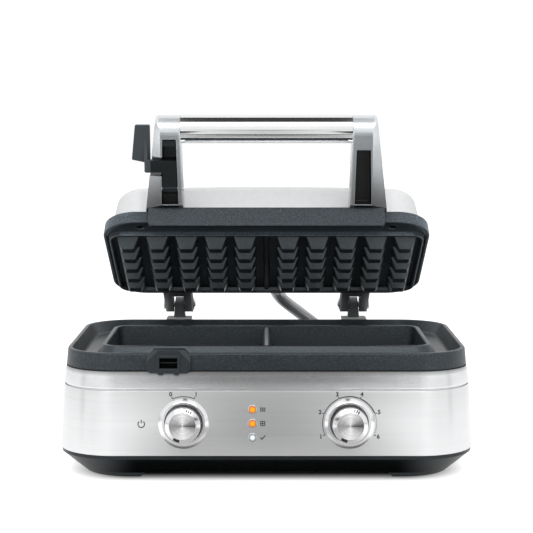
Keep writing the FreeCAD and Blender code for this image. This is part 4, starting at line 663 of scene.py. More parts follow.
def new_group(name, numbers, outputs):
    """An empty shader node group over a place and some numbers."""
    group = bpy.data.node_groups.new(name, "ShaderNodeTree")
    group.interface.new_socket(name="Vector", in_out="INPUT", socket_type="NodeSocketVector")
    for way, names in (("INPUT", numbers), ("OUTPUT", outputs)):
        for socket in names:
            group.interface.new_socket(name=socket, in_out=way, socket_type="NodeSocketFloat")
    return group, group.nodes.new("NodeGroupInput").outputs, group.nodes.new("NodeGroupOutput").inputs


def coating_specks(name):
    """Fine pale grit and a faint orange-peel over a sprayed coating."""
    group, given, result = new_group(name, ("Scale", "Amount"), ("Specks", "Height", "Mottle"))
    grit = spread(group, noise(group, given["Vector"], given["Scale"], 1.5, 0.6), 0.42, 0.74)
    put(group, result["Specks"], worked(group, "MULTIPLY", grit, given["Amount"]))
    put(group, result["Height"], noise(group, given["Vector"], 420.0, 4.0, 0.6))
    put(group, result["Mottle"], noise(group, given["Vector"], 38.0, 3.0))
    return group


def brush_lines(name):
    """Long level brush lines: noise that is stretched along the band and tight across it."""
    group, given, result = new_group(name, ("Along", "Across"), ("Lines", "Broad"))
    x, y, z = separate(group, given["Vector"])
    place = add_node(group, "CombineXYZ", X=worked(group, "MULTIPLY", x, given["Along"]),
                     Y=worked(group, "MULTIPLY", y, given["Along"]),
                     Z=worked(group, "MULTIPLY", z, given["Across"])).outputs[0]
    slower = worked_vector(group, "MULTIPLY", place, (0.35, 0.35, 0.12))
    put(group, result["Lines"], noise(group, place, 1.0, 5.0, 0.7))
    put(group, result["Broad"], noise(group, slower, 1.0, 2.0))
    return group


def use_group(tree, name, make, **numbers):
    """Outputs of a node group over object coordinates; the group is made at its first use."""
    group = bpy.data.node_groups.get(name) or make(name)
    return add_node(tree, "Group", {"node_tree": group}, Vector=object_place(tree), **numbers).outputs


def shade(colour, factor=1.0):
    """A colour made lighter or darker."""
    return tuple(min(channel * factor, 1.0) for channel in colour[:3]) + (1.0,)


def new_finish(name, colour, roughness, metallic=0.0, **sockets):
    """A material with a principled shader and its constant sockets set."""
    made = bpy.data.materials.new(name)
    made.use_nodes = True
    shaded(made.node_tree, Base_Color=shade(colour), Roughness=roughness, Metallic=metallic, **sockets)
    return made, made.node_tree


def textured(tree, tone, tones, worn, roughness, height, strength, distance=0.0001):
    """Links a tone to the colour, wear to the roughness and a height to the normal."""
    shaded(tree, Base_Color=mixed(tree, tone, *tones), Roughness=spread(tree, worn, 0.0, 1.0, *roughness))
    bumped(tree, height, strength, distance)


def bumped(tree, height, strength, distance=0.0001):
    """Normal from a height."""
    bump = add_node(tree, "Bump", Strength=strength, Distance=distance, Height=height)
    shaded(tree, Normal=bump.outputs["Normal"])


def coated_finish(name, colour, roughness, scale, amount, gloss):
    """Dark sprayed non-stick coating with fine specks."""
    made, tree = new_finish(name, colour, roughness, Specular_IOR_Level=gloss, Specular_Tint=COOL)
    specks = use_group(tree, "coating specks", coating_specks, Scale=scale, Amount=amount)
    textured(tree, specks["Specks"], (shade(colour, 0.62), shade(colour, 3.2)), specks["Mottle"],
             (roughness - 0.08, roughness + 0.08), specks["Height"], 0.45, 0.0003)
    return made


def brushed_finish(name, colour, roughness, along, across):
    """Metal brushed along level lines."""
    made, tree = new_finish(name, colour, roughness, 1.0, Anisotropic=0.75, Anisotropic_Rotation=0.25)
    lines = use_group(tree, "brush lines", brush_lines, Along=along, Across=across)
    textured(tree, lines["Broad"], (shade(colour, 0.93), shade(colour, 1.05)), lines["Lines"],
             (roughness - 0.05, roughness + 0.05), lines["Lines"], 0.06)
    tangent = add_node(tree, "Tangent", {"direction_type": "RADIAL", "axis": "Z"})
    shaded(tree, Tangent=tangent.outputs["Tangent"])
    return made


def grained_finish(name, colour, roughness, metallic, scale, strength, wear=0.05, edge=0.0, **sockets):
    """Plain metal or moulding with a fine even grain, and shading that rounds the edges of a plain solid."""
    made, tree = new_finish(name, colour, roughness, metallic, **sockets)
    place = object_place(tree)
    grain, broad = noise(tree, place, scale, 4.0, 0.6), noise(tree, place, scale / BROAD_GRAIN, 2.0)
    textured(tree, broad, (shade(colour, 0.94), shade(colour, 1.06)), grain,
             (roughness - wear, roughness + wear), grain, strength)
    return softened(made, edge) if edge else made


def softened(made, radius):
    """Rounds sharp edges of a plain solid in its shading."""
    tree = made.node_tree
    bevel = add_node(tree, "Bevel", {"samples": 6}, Radius=radius)
    bump = next(node for node in tree.nodes if node.type == "BUMP")
    put(tree, bump.inputs["Normal"], bevel.outputs["Normal"])
    return made


def box_mask(tree, place, middle, half):
    """1 inside a box given in millimetres, 0 outside: the largest share of the half sizes is below one."""
    away = worked_vector(tree, "SUBTRACT", place, tuple(np.array(middle) * MM))
    share = worked_vector(tree, "DIVIDE", away, tuple(np.array(half) * MM))
    x, y, z = separate(tree, worked_vector(tree, "ABSOLUTE", share))
    return worked(tree, "LESS_THAN", worked(tree, "MAXIMUM", worked(tree, "MAXIMUM", x, y), z), 1.0)


def recoloured(tree, factor, colour=PAINTED_SHADE_BLACK, blend="MIX"):
    """The shader's colour, mixed with another where the factor is one."""
    plain = tree.nodes["Principled BSDF"].inputs["Base Color"].links[0].from_socket
    shaded(tree, Base_Color=mixed(tree, factor, plain, colour, blend))


def darkened(tree, level, part=1.0):
    """The shader's colour times a level, everywhere or over a part."""
    recoloured(tree, part, level, "MULTIPLY")


class WAFFLE_OT_finishes(bpy.types.Operator):
    """Make every finish once"""

    bl_idname = "waffle.finishes"
    bl_label = "Finishes"

    def execute(self, context):
        tint = context.scene.waffle_colours
        for name, values in GRAINED.items():
            FINISHES[name] = grained_finish(*values)
        for name, colour, roughness, scale, amount, gloss in (
                ("tray", tint.coating, 0.36, 800.0, 1.0, 0.66),
                ("plate", tint.coating, 0.38, 800.0, 1.0, 1.0),
                # Painted light: the rim coating is the plate coating six and a half times lighter, for the
                # lit rim of the upper plate
                ("rim", shade(tint.coating, 6.5), 0.38, 800.0, 0.6, 1.0),
                ("divider", tint.coating, 0.30, 1000.0, 0.8, 1.0),
                # Painted reflection: the skirt coating is over five times the skirt tint, and shading() cuts
                # it to a fifth away from the skirt's ends
                ("skirt", shade(tint.skirt, 5.4), 0.44, 800.0, 0.45, 0.45),
                ("lip", tint.skirt, 0.46, 800.0, 0.7, 0.45)):
            FINISHES[name] = coated_finish(name + " coating", colour, roughness, scale, amount, gloss)
        softened(FINISHES["lip"], 0.0008)
        FINISHES["band"] = brushed_finish("brushed band", tint.steel, 0.30, 14.0, 2600.0)
        FINISHES["silver"] = grained_finish("satin silver", tint.silver, 0.27, 1.0, 5200.0, 0.006)
        FINISHES["moulding"] = grained_finish("black moulding", tint.moulding, 0.32, 0.0, 1800.0, 0.05,
                                              edge=0.001, Specular_Tint=COOL)
        # Black for painted shade behind the catch's window and in the middles of the screw seats
        FINISHES["hollow"] = grained_finish("hollow black", (0.0015, 0.0017, 0.0018), 0.9, 0.0, 2200.0, 0.02,
                                            Specular_IOR_Level=0.05)
        # Painted shade: the lever black inside the arm's channel, the catch black inside its window
        self.hollow("charcoal", tint.charcoal, 0.35, LEVER_BLOCK)
        self.hollow("catch", shade(tint.charcoal, 0.34), 0.55, (WINDOW_MIDDLE, WINDOW_HALF))
        self.shading()
        self.arm((0.725, 0.755, 0.78))
        self.spun_face()
        self.lamp("amber", tint.amber, (0.42, 0.03, 0.002), 0.9)
        self.lamp("clear", (0.86, 0.93, 0.93), (0.07, 0.11, 0.12), 0.6)
        return {"FINISHED"}

    def hollow(self, name, colour, gloss, box):
        """Dark moulding with painted shade: black inside a box."""
        made = grained_finish(name + " moulding", colour, 0.40, 0.0, 2200.0, 0.10, edge=0.0007,
                              Specular_IOR_Level=gloss, Specular_Tint=COOL)
        tree = made.node_tree
        recoloured(tree, box_mask(tree, object_place(tree), *box))
        FINISHES[name] = made

    def shading(self):
        """Painted shade on the collar under the tray and on the skirt away from its light ends, and a pale
        painted highlight on the divider's crest.
        """
        tree = FINISHES["silver"].node_tree
        height = separate(tree, object_place(tree))[2]
        # Painted shade: the collar darkens towards its top, under the tray
        darkened(tree, spread(tree, height, *COLLAR_SHADOW, 1.0, 0.4))
        tree = FINISHES["skirt"].node_tree
        away = worked(tree, "ABSOLUTE", separate(tree, object_place(tree))[0])
        # Painted reflection on the skirt's ends: a fifth of the colour in the middle, full colour at the ends
        darkened(tree, spread(tree, away, *SKIRT_SHADOW, 0.2))
        tree = FINISHES["divider"].node_tree
        # Painted highlight: a pale strip along the divider's crest
        recoloured(tree, box_mask(tree, object_place(tree), (0, 0, RIM_HIGH - 2.0), CREST_HALF), CREST_HIGHLIGHT)

    def arm(self, colour):
        """Satin silver with painted shade: darker towards the foot, more on the outer facet and the front
        faces, and black inside the channels, which are boxes in the arm's own frame."""
        made = grained_finish("arm silver", colour, 0.26, 0.92, 5200.0, 0.01, edge=0.0008)
        tree = made.node_tree
        foot = tuple(from_arm(np.zeros((1, 3)))[0] * MM)
        away = worked_vector(tree, "SUBTRACT", object_place(tree), foot)
        turned = add_node(tree, "VectorRotate", {"rotation_type": "X_AXIS"}, Vector=away,
                          Angle=LID_OPEN - ARM_LEAN)
        mirrored = worked_vector(tree, "ABSOLUTE", turned.outputs["Vector"])
        along = separate(tree, mirrored)[2]
        facet, front, inside = (box_mask(tree, mirrored, *box) for box in (FACET, FRONT, CHANNEL))
        # Painted shade: darker towards the foot, more so on the outer facet, a fixed darkening on the front
        # faces
        for lowest, highest, part in ((0.62, 1.0, 1.0), (0.42, 0.95, facet), (0.72, 0.72, front)):
            darkened(tree, spread(tree, along, *ARM_SHADOW, lowest, highest), part)
        recoloured(tree, inside)
        shaded(tree, Metallic=spread(tree, inside, 0.0, 1.0, 0.92, 0.0))
        FINISHES["arm"] = made

    def spun_face(self):
        """Turned metal whose brush lines run round the middle, with two pale cones of painted reflection in
        its colour.
        """
        made, tree = new_finish("spun face", (0.78, 0.78, 0.79), 0.26, 0.6, Anisotropic=0.9)
        tangent = add_node(tree, "Tangent", {"direction_type": "UV_MAP", "uv_map": "round"})
        place = round_place(tree)
        stretch = add_node(tree, "Mapping", Vector=place, Scale=(2.0, 140.0, 1.0)).outputs["Vector"]
        rings = noise(tree, stretch, 1.0, 3.0)
        bumped(tree, rings, 0.04)
        # Painted reflection: two pale cones by the turn round the face
        cones = add_node(tree, "ValToRGB", Fac=separate(tree, place)[0])
        ramp = cones.color_ramp
        ramp.interpolation = "EASE"
        while len(ramp.elements) < len(SPUN_HIGHLIGHT_LEVELS):
            ramp.elements.new(0.5)
        for element, (at, level) in zip(ramp.elements, SPUN_HIGHLIGHT_LEVELS):
            element.position = at
            element.color = (level, level, level * 1.01, 1)
        shaded(tree, Tangent=tangent.outputs["Tangent"], Base_Color=cones.outputs["Color"],
               Roughness=spread(tree, rings, 0.0, 1.0, 0.2, 0.32))
        FINISHES["spun"] = made

    def lamp(self, name, colour, rim, strength):
        """Lens that glows in the middle and darkens towards its rim, by the distance in its round map."""
        made, tree = new_finish(name + " lens", colour, 0.18, Coat_Weight=0.5, Emission_Strength=strength)
        out = spread(tree, separate(tree, round_place(tree))[1], *LENS_GLOW)
        lit, own = (mixed(tree, out, shade(colour, share), shade(rim, share)) for share in (1.0, 0.6))
        shaded(tree, Base_Color=own, Emission_Color=lit)
        FINISHES[name] = made


class WAFFLE_OT_dress_solids(bpy.types.Operator):
    """Give every solid of the frame its finish"""

    bl_idname = "waffle.dress_solids"
    bl_label = "Dress the solids"

    def execute(self, context):
        for name, nodes in NODE_FINISHES.items():
            for node in nodes.split():
                slots = NODES[node].data.materials
                slots.clear()
                slots.append(FINISHES[name])
        return {"FINISHED"}


def body_ring(inset, z):
    """Level ring round the base."""
    return outline(BODY_HALF_X, BODY_HALF_Y, BODY_CORNER, inset, z)


def skirt_ring(inset, z):
    """Level ring round the lid's skirt."""
    return outline(SKIRT_HALF_X, SKIRT_HALF_Y, SKIRT_CORNER, inset, z, SKIRT_Y)


def carried(ring, section):
    """Closed ring whose (inset, height) section is carried round a level outline."""
    return surface(np.array([ring(inset, z) for inset, z in section]), True)


class WAFFLE_OT_base(bpy.types.Operator):
    """Make the steel band and the collar"""

    bl_idname = "waffle.base"
    bl_label = "Band and collar"

    def execute(self, context):
        self.band(context.scene.waffle_sizes.band_edge / MM)
        self.collar()
        self.catch_window()
        return {"FINISHED"}

    def catch_window(self):
        """Black sheet behind the catch's window, painted shade in its opening, with a narrow bar across it.
        """
        x, _, z = WINDOW_MIDDLE
        for name, half_z, front, coat in (("catch_back", 4.6, -114.3, "hollow"),
                                          ("catch_bar", 0.45, -114.5, "catch")):
            section = np.array(SQUARE) * [CATCH_HALF_X, half_z] + [x, z]
            make_piece(name, ridge(section, front, front + CATCH_THICK), coat, "base", slot="catch_grey")

    def band(self, edge):
        """Thin leaning sheet with round edges."""
        low, high = body_inset(BAND_LOW), body_inset(BAND_HIGH)
        section = rounded_path([(low + 1, BAND_LOW), (low, BAND_LOW), (high, BAND_HIGH),
                                (high + 1, BAND_HIGH)], [edge, edge], 4)
        make_piece("steel_band", carried(body_ring, section), "band", "base", ["body_wrap"], "brushed_band")

    def collar(self):
        """Crowned face between a round lower edge over a shadow gap and a narrow groove under the tray."""
        step, edge = BAND_HIGH + SHADOW_GAP, COLLAR_HIGH - COLLAR_GROOVE
        foot, top = body_inset(step), body_inset(edge)
        crown = [(foot + (top - foot) * t - COLLAR_CROWN * t * (1 - t), step + (edge - step) * t)
                 for t in np.linspace(0, 1, 9)]
        section = rounded_path([(foot + 3, BAND_HIGH), (foot + 1.4, BAND_HIGH), (foot + 1.4, step)] + crown
                               + [(top + 1.6, edge), (top + 1.6, COLLAR_HIGH), (top + 3, COLLAR_HIGH)],
                               [0, 0, 1.5] + [0] * 10, 7)
        piece = make_piece("collar_ring", carried(body_ring, section), "silver", "base", ["shoulder_collar"],
                           "satin_silver")
        # Painted shade: the groove under the tray and the faces above it are black
        second_finish(piece, "ink", read(piece.data.polygons, "center")[:, 2] > (edge - 0.05) * MM)


def stud_field(z, direction, tip_round):
    """All studs of one plate in two fields, pointing up (1) or down (-1): tapered blocks with rounded tips,
    made of rings of a rounded rectangle."""
    signs, ways = plan(3, 1)
    path = rounded_path([(0, 0), (STUD_SLOPE, STUD_HEIGHT), (STUD_SLOPE + 3, STUD_HEIGHT)], [tip_round], 4)
    half = np.array(STUD_BASE) / 2 - STUD_CORNER
    rings = [np.insert(signs * (half - inset) + ways * STUD_CORNER, 2, direction * height, axis=1)
             for inset, height in path]
    stud = surface(np.array(rings))
    return combine(*[shifted(stud, side * CELL_X + column * COLUMN_PITCH, row * ROW_PITCH, z)
                     for side in (-1, 1) for column in range(-2, 3) for row in range(-2, 3)])


class WAFFLE_OT_tray(bpy.types.Operator):
    """Make the cast tray with its moat, wells and studs"""

    bl_idname = "waffle.tray"
    bl_label = "Tray"

    def execute(self, context):
        sizes = context.scene.waffle_sizes
        shell = self.shell(sizes.rim_round / MM, sizes.moat_round / MM)
        studs = stud_field(WELL_FLOOR, 1, sizes.stud_round / MM)
        make_piece("tray", combine(shell, studs), "tray", "base", ["lower_plate"], "nonstick_tray")
        make_piece("tray_divider", self.divider(), "divider", "base", slot="nonstick_tray")
        return {"FINISHED"}

    def shell(self, rim, moat):
        """Closed casting: the underside, the outer wall, the moat and the well, ring by ring."""
        def well(outset, z):
            return outline(WELL_HALF_X, WELL_HALF_Y, WELL_CORNER, -outset, z)

        foot, top = body_inset(COLLAR_HIGH), body_inset(RIM_HIGH)
        moat_in = top + RIM_EDGE + MOAT_SLOPE
        outer = rounded_path([(foot, COLLAR_HIGH), (top, RIM_HIGH), (top + RIM_EDGE, RIM_HIGH),
                              (moat_in, MOAT_FLOOR), (moat_in + MOAT_FLAT, MOAT_FLOOR)], [rim, rim, moat])
        draft = WELL_DRAFT * (RIM_HIGH - MOAT_FLOOR) / (RIM_HIGH - WELL_FLOOR)
        moat_out = WELL_RIM + MOAT_SLOPE
        mound = rounded_path([(moat_out + MOAT_FLAT, MOAT_FLOOR), (moat_out - draft, MOAT_FLOOR),
                              (WELL_RIM, RIM_HIGH), (0, RIM_HIGH), (-WELL_DRAFT, WELL_FLOOR),
                              (-WELL_DRAFT - FLOOR_EDGE, WELL_FLOOR)], [moat, rim, rim, WELL_ROUND])
        under = [(CASTING - WELL_DRAFT - FLOOR_EDGE, WELL_UNDER), (CASTING - WELL_DRAFT, WELL_UNDER),
                 (CASTING, COLLAR_HIGH)]
        rings = [well(*point) for point in under] + [body_ring(*point) for point in outer]
        return surface(np.array(rings + [well(*point) for point in mound]))

    def divider(self):
        """Ridge between the wells, flared to its foot and rounded along its top."""
        top = RIM_HIGH - DIVIDER_DROP
        section = rounded_path([(-DIVIDER_FOOT, WELL_FLOOR), (-DIVIDER_TOP, top), (DIVIDER_TOP, top),
                                (DIVIDER_FOOT, WELL_FLOOR)], [DIVIDER_ROUND, DIVIDER_ROUND])
        return ridge(section, -WELL_HALF_Y, WELL_HALF_Y)


class WAFFLE_OT_lid(bpy.types.Operator):
    """Make the skirt, the cover and the pocketed plate of the lid"""

    bl_idname = "waffle.lid"
    bl_label = "Lid"

    def execute(self, context):
        sizes = context.scene.waffle_sizes
        self.skirt(sizes.skirt_round / MM)
        self.cover()
        self.plate(sizes.stud_round / MM)
        self.screw_seats()
        return {"FINISHED"}

    def screw_seats(self):
        """Low rings round the plate's screws, with black middles painted as the shade of their recesses."""
        seat = lathe([(0.05, 0.3), (4.5, 0.3), (4.4, -0.5), (3.7, -0.6), (3.3, -0.15), (0.05, -0.15)], 32)
        seats = [shifted(seat, x, y, PLATE_FACE) for x in (-SCREW_X, SCREW_X) for y in SCREW_ROWS]
        middles = open_lid(np.array([points.mean(0) for points, _ in seats])) * MM
        piece = lid_piece("screw_seats", combine(*seats), "plate", slot="nonstick_plate")
        away = np.linalg.norm(read(piece.data.polygons, "center")[:, None] - middles, axis=2).min(1)
        # Painted shade: the middle of each seat is black
        second_finish(piece, "hollow", away < SCREW_HOLLOW * MM)

    def skirt(self, shoulder):
        """Leaning ring with a round shoulder."""
        section = rounded_path([(2.6, SKIRT_INSIDE), (2.6, SKIRT_LOW), (0, SKIRT_LOW), (1.2, SKIRT_HIGH),
                                (16, SKIRT_HIGH), (16, SKIRT_INSIDE)], [0.5, 0.7, shoulder, 0], 8)
        lid_piece("lid_skirt", carried(skirt_ring, section), "skirt", ["lid_frame"], "dark_skirt")

    def cover(self):
        """Pressed cover: a leaning wall, a round shoulder and a top that is crowned across."""
        half_x, half_y, corner = SKIRT_HALF_X - 6.9, SKIRT_HALF_Y - 9.8, 30.0
        rise, crown, lean, shoulder = 33.0, 2.6, 5.8, 11.5
        high = SKIRT_HIGH + rise
        rings = []
        for inset, z in rounded_path([(0, SKIRT_HIGH), (lean, high), (lean + 18, high)], [shoulder], 12):
            ring = outline(half_x, half_y, corner, inset, z, SKIRT_Y)
            ring[:, 2] += (z - SKIRT_HIGH) / rise * crown * (1 - (ring[:, 0] / half_x) ** 2)
            rings.append(ring)
        edge = rings[-1]
        for scale in np.linspace(1, 0.02, 12)[1:]:
            x, y = edge[:, 0] * scale, SKIRT_Y + (edge[:, 1] - SKIRT_Y) * scale
            rings.append(np.column_stack([x, y, high + crown * (1 - (x / half_x) ** 2)]))
        lid_piece("lid_shell", surface(np.array(rings)), "cover", ["lid_cover"], "lid_silver")

    def plate(self, tip_round):
        """Flat border, raised rim and studs, with a low ridge in the middle."""
        back, drop, low = PLATE_FACE + CASTING, PLATE_FACE - PLATE_RIM_DROP, PLATE_FACE - 3
        border = rounded_path([(8, back), (2.8, back), (2.8, PLATE_FACE), (7, PLATE_FACE)], [0.3, 0.6], 4)
        raised = rounded_path([(-2.5, PLATE_FACE), (0, PLATE_FACE), (0, drop), (2.2, drop), (3.2, PLATE_FACE),
                               (7, PLATE_FACE)], [0.35, 0.6, 0.6, 1.2], 5)
        rings = [skirt_ring(*point) for point in border] + [outline(*PLATE_RIM, *point) for point in raised]
        middle = rounded_path([(-3, PLATE_FACE), (-1.5, low), (1.5, low), (3, PLATE_FACE)], [1.0, 1.0])
        whole = combine(surface(np.array(rings)), ridge(middle, -RIDGE_HALF, RIDGE_HALF),
                        stud_field(PLATE_FACE, -1, tip_round))
        piece = lid_piece("pocket_plate", whole, "plate", ["upper_plate"], "nonstick_plate")
        x, y, z = turn_x(read(piece.data.polygons, "center") / MM, LID_OPEN, HINGE_Y, HINGE_Z).T
        outside = (np.abs(x) > PLATE_RIM[0] - 0.3) | (np.abs(y) > PLATE_RIM[1] - 0.3)
        # Painted light: the lit faces round the raised rim take the lighter rim coating
        second_finish(piece, "rim", outside & (z < PLATE_FACE - 0.3) & (z > drop))


class WAFFLE_OT_conduit(bpy.types.Operator):
    """Make the silver tube that crosses the hinge"""

    bl_idname = "waffle.conduit"
    bl_label = "Conduit"

    def execute(self, context):
        lead, sleeve = (open_lid(np.array([(CONDUIT_X, y, CONDUIT_Z) for y in ends]))
                        for ends in (CONDUIT_LEAD, SLEEVE_ENDS))
        line = nurbs_line(np.vstack([lead, CONDUIT_RUN]))
        piece = make_piece("conduit_tube", tube(line, CONDUIT_RADIUS), "conduit", None, ["lid_conduit"],
                           "conduit_silver")
        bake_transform(piece)
        make_piece("lid_gland", tube(sleeve, SLEEVE_RADIUS), "housing", "lid", ["conduit_gland_lid"],
                   "satin_silver")
        return {"FINISHED"}


class WAFFLE_OT_handle(bpy.types.Operator):
    """Make the polished bar"""

    bl_idname = "waffle.handle"
    bl_label = "Handle"

    def execute(self, context):
        points, faces = lathe([(BAR_RADIUS, share * BAR_HALF) for share in (-1, -0.5, 0, 0.5, 1)])
        bar = from_arm(np.roll(points, 1, axis=1) + BAR_PLACE), faces
        make_piece("bar", bar, "chrome", "lid", ["grip_bar"], "chrome_bar")
        return {"FINISHED"}


class WAFFLE_OT_controls(bpy.types.Operator):
    """Make the knobs, the rings round them and the lamps"""

    bl_idname = "waffle.controls"
    bl_label = "Controls"

    def execute(self, context):
        for name, x in (("power", -KNOB_X), ("dial", KNOB_X)):
            self.bezel(name, x)
            self.knob(name, x)
        self.lamps()
        rise = context.scene.waffle_sizes.ink_rise / MM
        for name, x, marks in (("power", -KNOB_X, self.power_marks), ("dial", KNOB_X, self.dial_marks),
                               ("lamp", LAMP_X, self.lamp_signs)):
            panel_piece(name + "_marks", x, combine(*marks(rise)), "ink", "base", slot="knob_mark")
        return {"FINISHED"}

    def bezel(self, name, x):
        """Ring with a round crest, falling to the panel outside and to the knob inside."""
        section = rounded_path([(3.6, -3.0), (18.4, -3.0), (18.4, 0), (22.6, 0), (22.2, 0.5), (18.9, 2.9),
                                (16.2, 2.4), (16.1, 1.2), (17.2, 0.4), (17.2, -1.8), (3.6, -1.8)],
                               [0, 0, 0, 0.2, 1.8, 0.3, 0.2, 0.2, 0], 6)
        piece = panel_piece(name + "_ring", x, lathe(section), "bezel", "base", [name + "_bezel"],
                            "bezel_chrome")
        radius, height = off_panel(piece, x)
        # Painted shade: the bore next to the knob is black
        second_finish(piece, "ink", (radius < 17.35 * MM) & (height < 0.8 * MM))

    def knob(self, name, x):
        """Turned side with a chamfer and a printed patch and notches on it, black as painted shade near the
        panel, and a separate spun face.
        """
        rim, proud, seat = KNOB_RADIUS, KNOB_PROUD, KNOB_SEAT
        floor = proud - 1.0
        side = rounded_path([(3.1, -0.8), (rim, -0.8), (rim, KNOB_SHADE_HEIGHT), (rim, proud - 3.4),
                             (rim - 0.1, proud - 2.0), (seat + 0.4, proud), (seat, proud), (seat, floor),
                             (3.1, floor)],
                            [0.3, 0, 0, 0.7, 0.2, 0.15, 0], 6)
        piece = panel_piece(name + "_turned", x, lathe(side), "knob", name, [name + "_knob"], "knob_steel")
        # Painted shade: the knob's side is black up to a height off the panel
        second_finish(piece, "ink", off_panel(piece, x)[1] < KNOB_SHADE_HEIGHT * MM)
        cone = (seat + 0.75, proud - 0.22), (rim - 0.75, proud - 1.72)
        patch = cone_patch(*cone, KNOB_POINTS_AT + 180, 12.0)
        panel_piece(name + "_patch", x, patch, "ink", name, [name + "_mark"], "knob_mark")
        notches = [cone_patch(*cone, KNOB_POINTS_AT + turn, 2.5) for turn in (-8, 0, 8)]
        panel_piece(name + "_notches", x, combine(*notches), "ink", name, slot="knob_mark")
        edge = seat - 0.02
        face = lathe([(0.05, floor), (edge, floor), (edge, proud - 0.05), (seat * 0.75, proud - 0.17),
                      (seat / 2, proud - 0.3), (seat / 4, proud - 0.45), (0.05, proud - 0.6)])
        piece = panel_piece(name + "_spun", x, face, "spun", name, [name + "_cap"], "knob_face")
        with_round_map(piece, control_centre(x))

    def tick(self, figure, turn, out, rise):
        """Short line across the arc with a figure outside it."""
        return [stroke(clockwise(TICK_REACH, turn), 0.75, rise),
                lettering(figure, clockwise(out, turn)[0], rise)]

    def power_marks(self, rise):
        """Arc from 0 to 1 and a plain mains sign."""
        end = KNOB_POINTS_AT
        marks = [stroke(clockwise(ARC_RADIUS, np.linspace(-end, end, 33)), 0.7, rise)]
        marks += self.tick("0", -end, POWER_FIGURES, rise) + self.tick("1", end, POWER_FIGURES, rise)
        ring = clockwise(2.9, np.linspace(38, 322, 33)) + [MAINS_X, -0.6]
        return marks + [stroke(line, 0.9, rise) for line in (ring, [(MAINS_X, 0.2), (MAINS_X, 3.4)])]

    def dial_marks(self, rise):
        """Figures 1 to 6 on an arc that thickens and ends in dots."""
        marks = []
        for number, turn in enumerate(DIAL_TURNS, 1):
            marks += self.tick(str(number), turn, DIAL_FIGURES, rise)
        for first, last in zip(DIAL_TURNS[:-2], DIAL_TURNS[1:-1]):
            bend = np.linspace(first + 0.6, last - 2.0, 33)
            marks.append(stroke(clockwise(ARC_RADIUS, bend), np.interp(bend, [-115, 69], [0.5, 1.15]), rise))
        for turn in np.linspace(73, 110, 9):
            marks.append(stroke(clockwise(ARC_RADIUS, turn + np.array([-0.9, 0, 0.9])), 0.7, rise))
        return marks

    def lamp_signs(self, rise):
        """Three waves, a grid and a tick, one beside each lamp."""
        wave = np.linspace(-2.0, 2.0, 17)
        bend = SIGN_X + 0.45 * np.sin(wave * 2.6)
        signs = [stroke(np.column_stack([bend + shift, wave + LAMP_PITCH]), 0.75, rise)
                 for shift in (-1.7, 0.0, 1.7)]
        for shift in (-1.9, 0.0, 1.9):
            signs.append(stroke([(SIGN_X + shift, -2.1), (SIGN_X + shift, 2.1)], 0.65, rise))
            signs.append(stroke([(SIGN_X - 2.1, shift), (SIGN_X + 2.1, shift)], 0.65, rise))
        for first, last in (((-2.1, 0.0), (-0.6, -1.7)), ((-0.8, -1.75), (2.3, 1.9))):
            signs.append(stroke(np.array([first, last]) + [SIGN_X, -LAMP_PITCH], 0.9, rise))
        return signs

    def lamps(self):
        """Domed lenses in small rings."""
        rings = []
        ring = lathe(rounded_path([(2.9, 0), (4.2, 0), (3.9, 0.7), (2.9, 0.7)], [0.1, 0.3], 5), 48)
        lens = lathe(rounded_path([(2.78, -16), (2.78, 0.2), (3.3, 0.2), (3.3, 1.4), (0.05, 1.4)],
                                  [0, 0, 1.1], 8), 48)
        for row, node, glow in ((1, "upper", "amber"), (0, "middle", "amber"), (-1, "lower", "clear")):
            up = row * LAMP_PITCH
            rings.append(shifted(ring, 0, up, 0))
            piece = panel_piece("lamp_" + node, LAMP_X, shifted(lens, 0, up, 0), glow, "base",
                                ["lamp_lens_" + node], "lamp_" + glow)
            with_round_map(piece, control_centre(LAMP_X, up))
        panel_piece("lamp_rings", LAMP_X, combine(*rings), "bezel", "base", ["lamp_bezels"], "bezel_chrome")


def sides(name, x):
    """Name and X of a stage piece, or those of a pair when it stands away from the middle."""
    return (("left_" + name, -x), ("right_" + name, x)) if x else ((name, 0),)


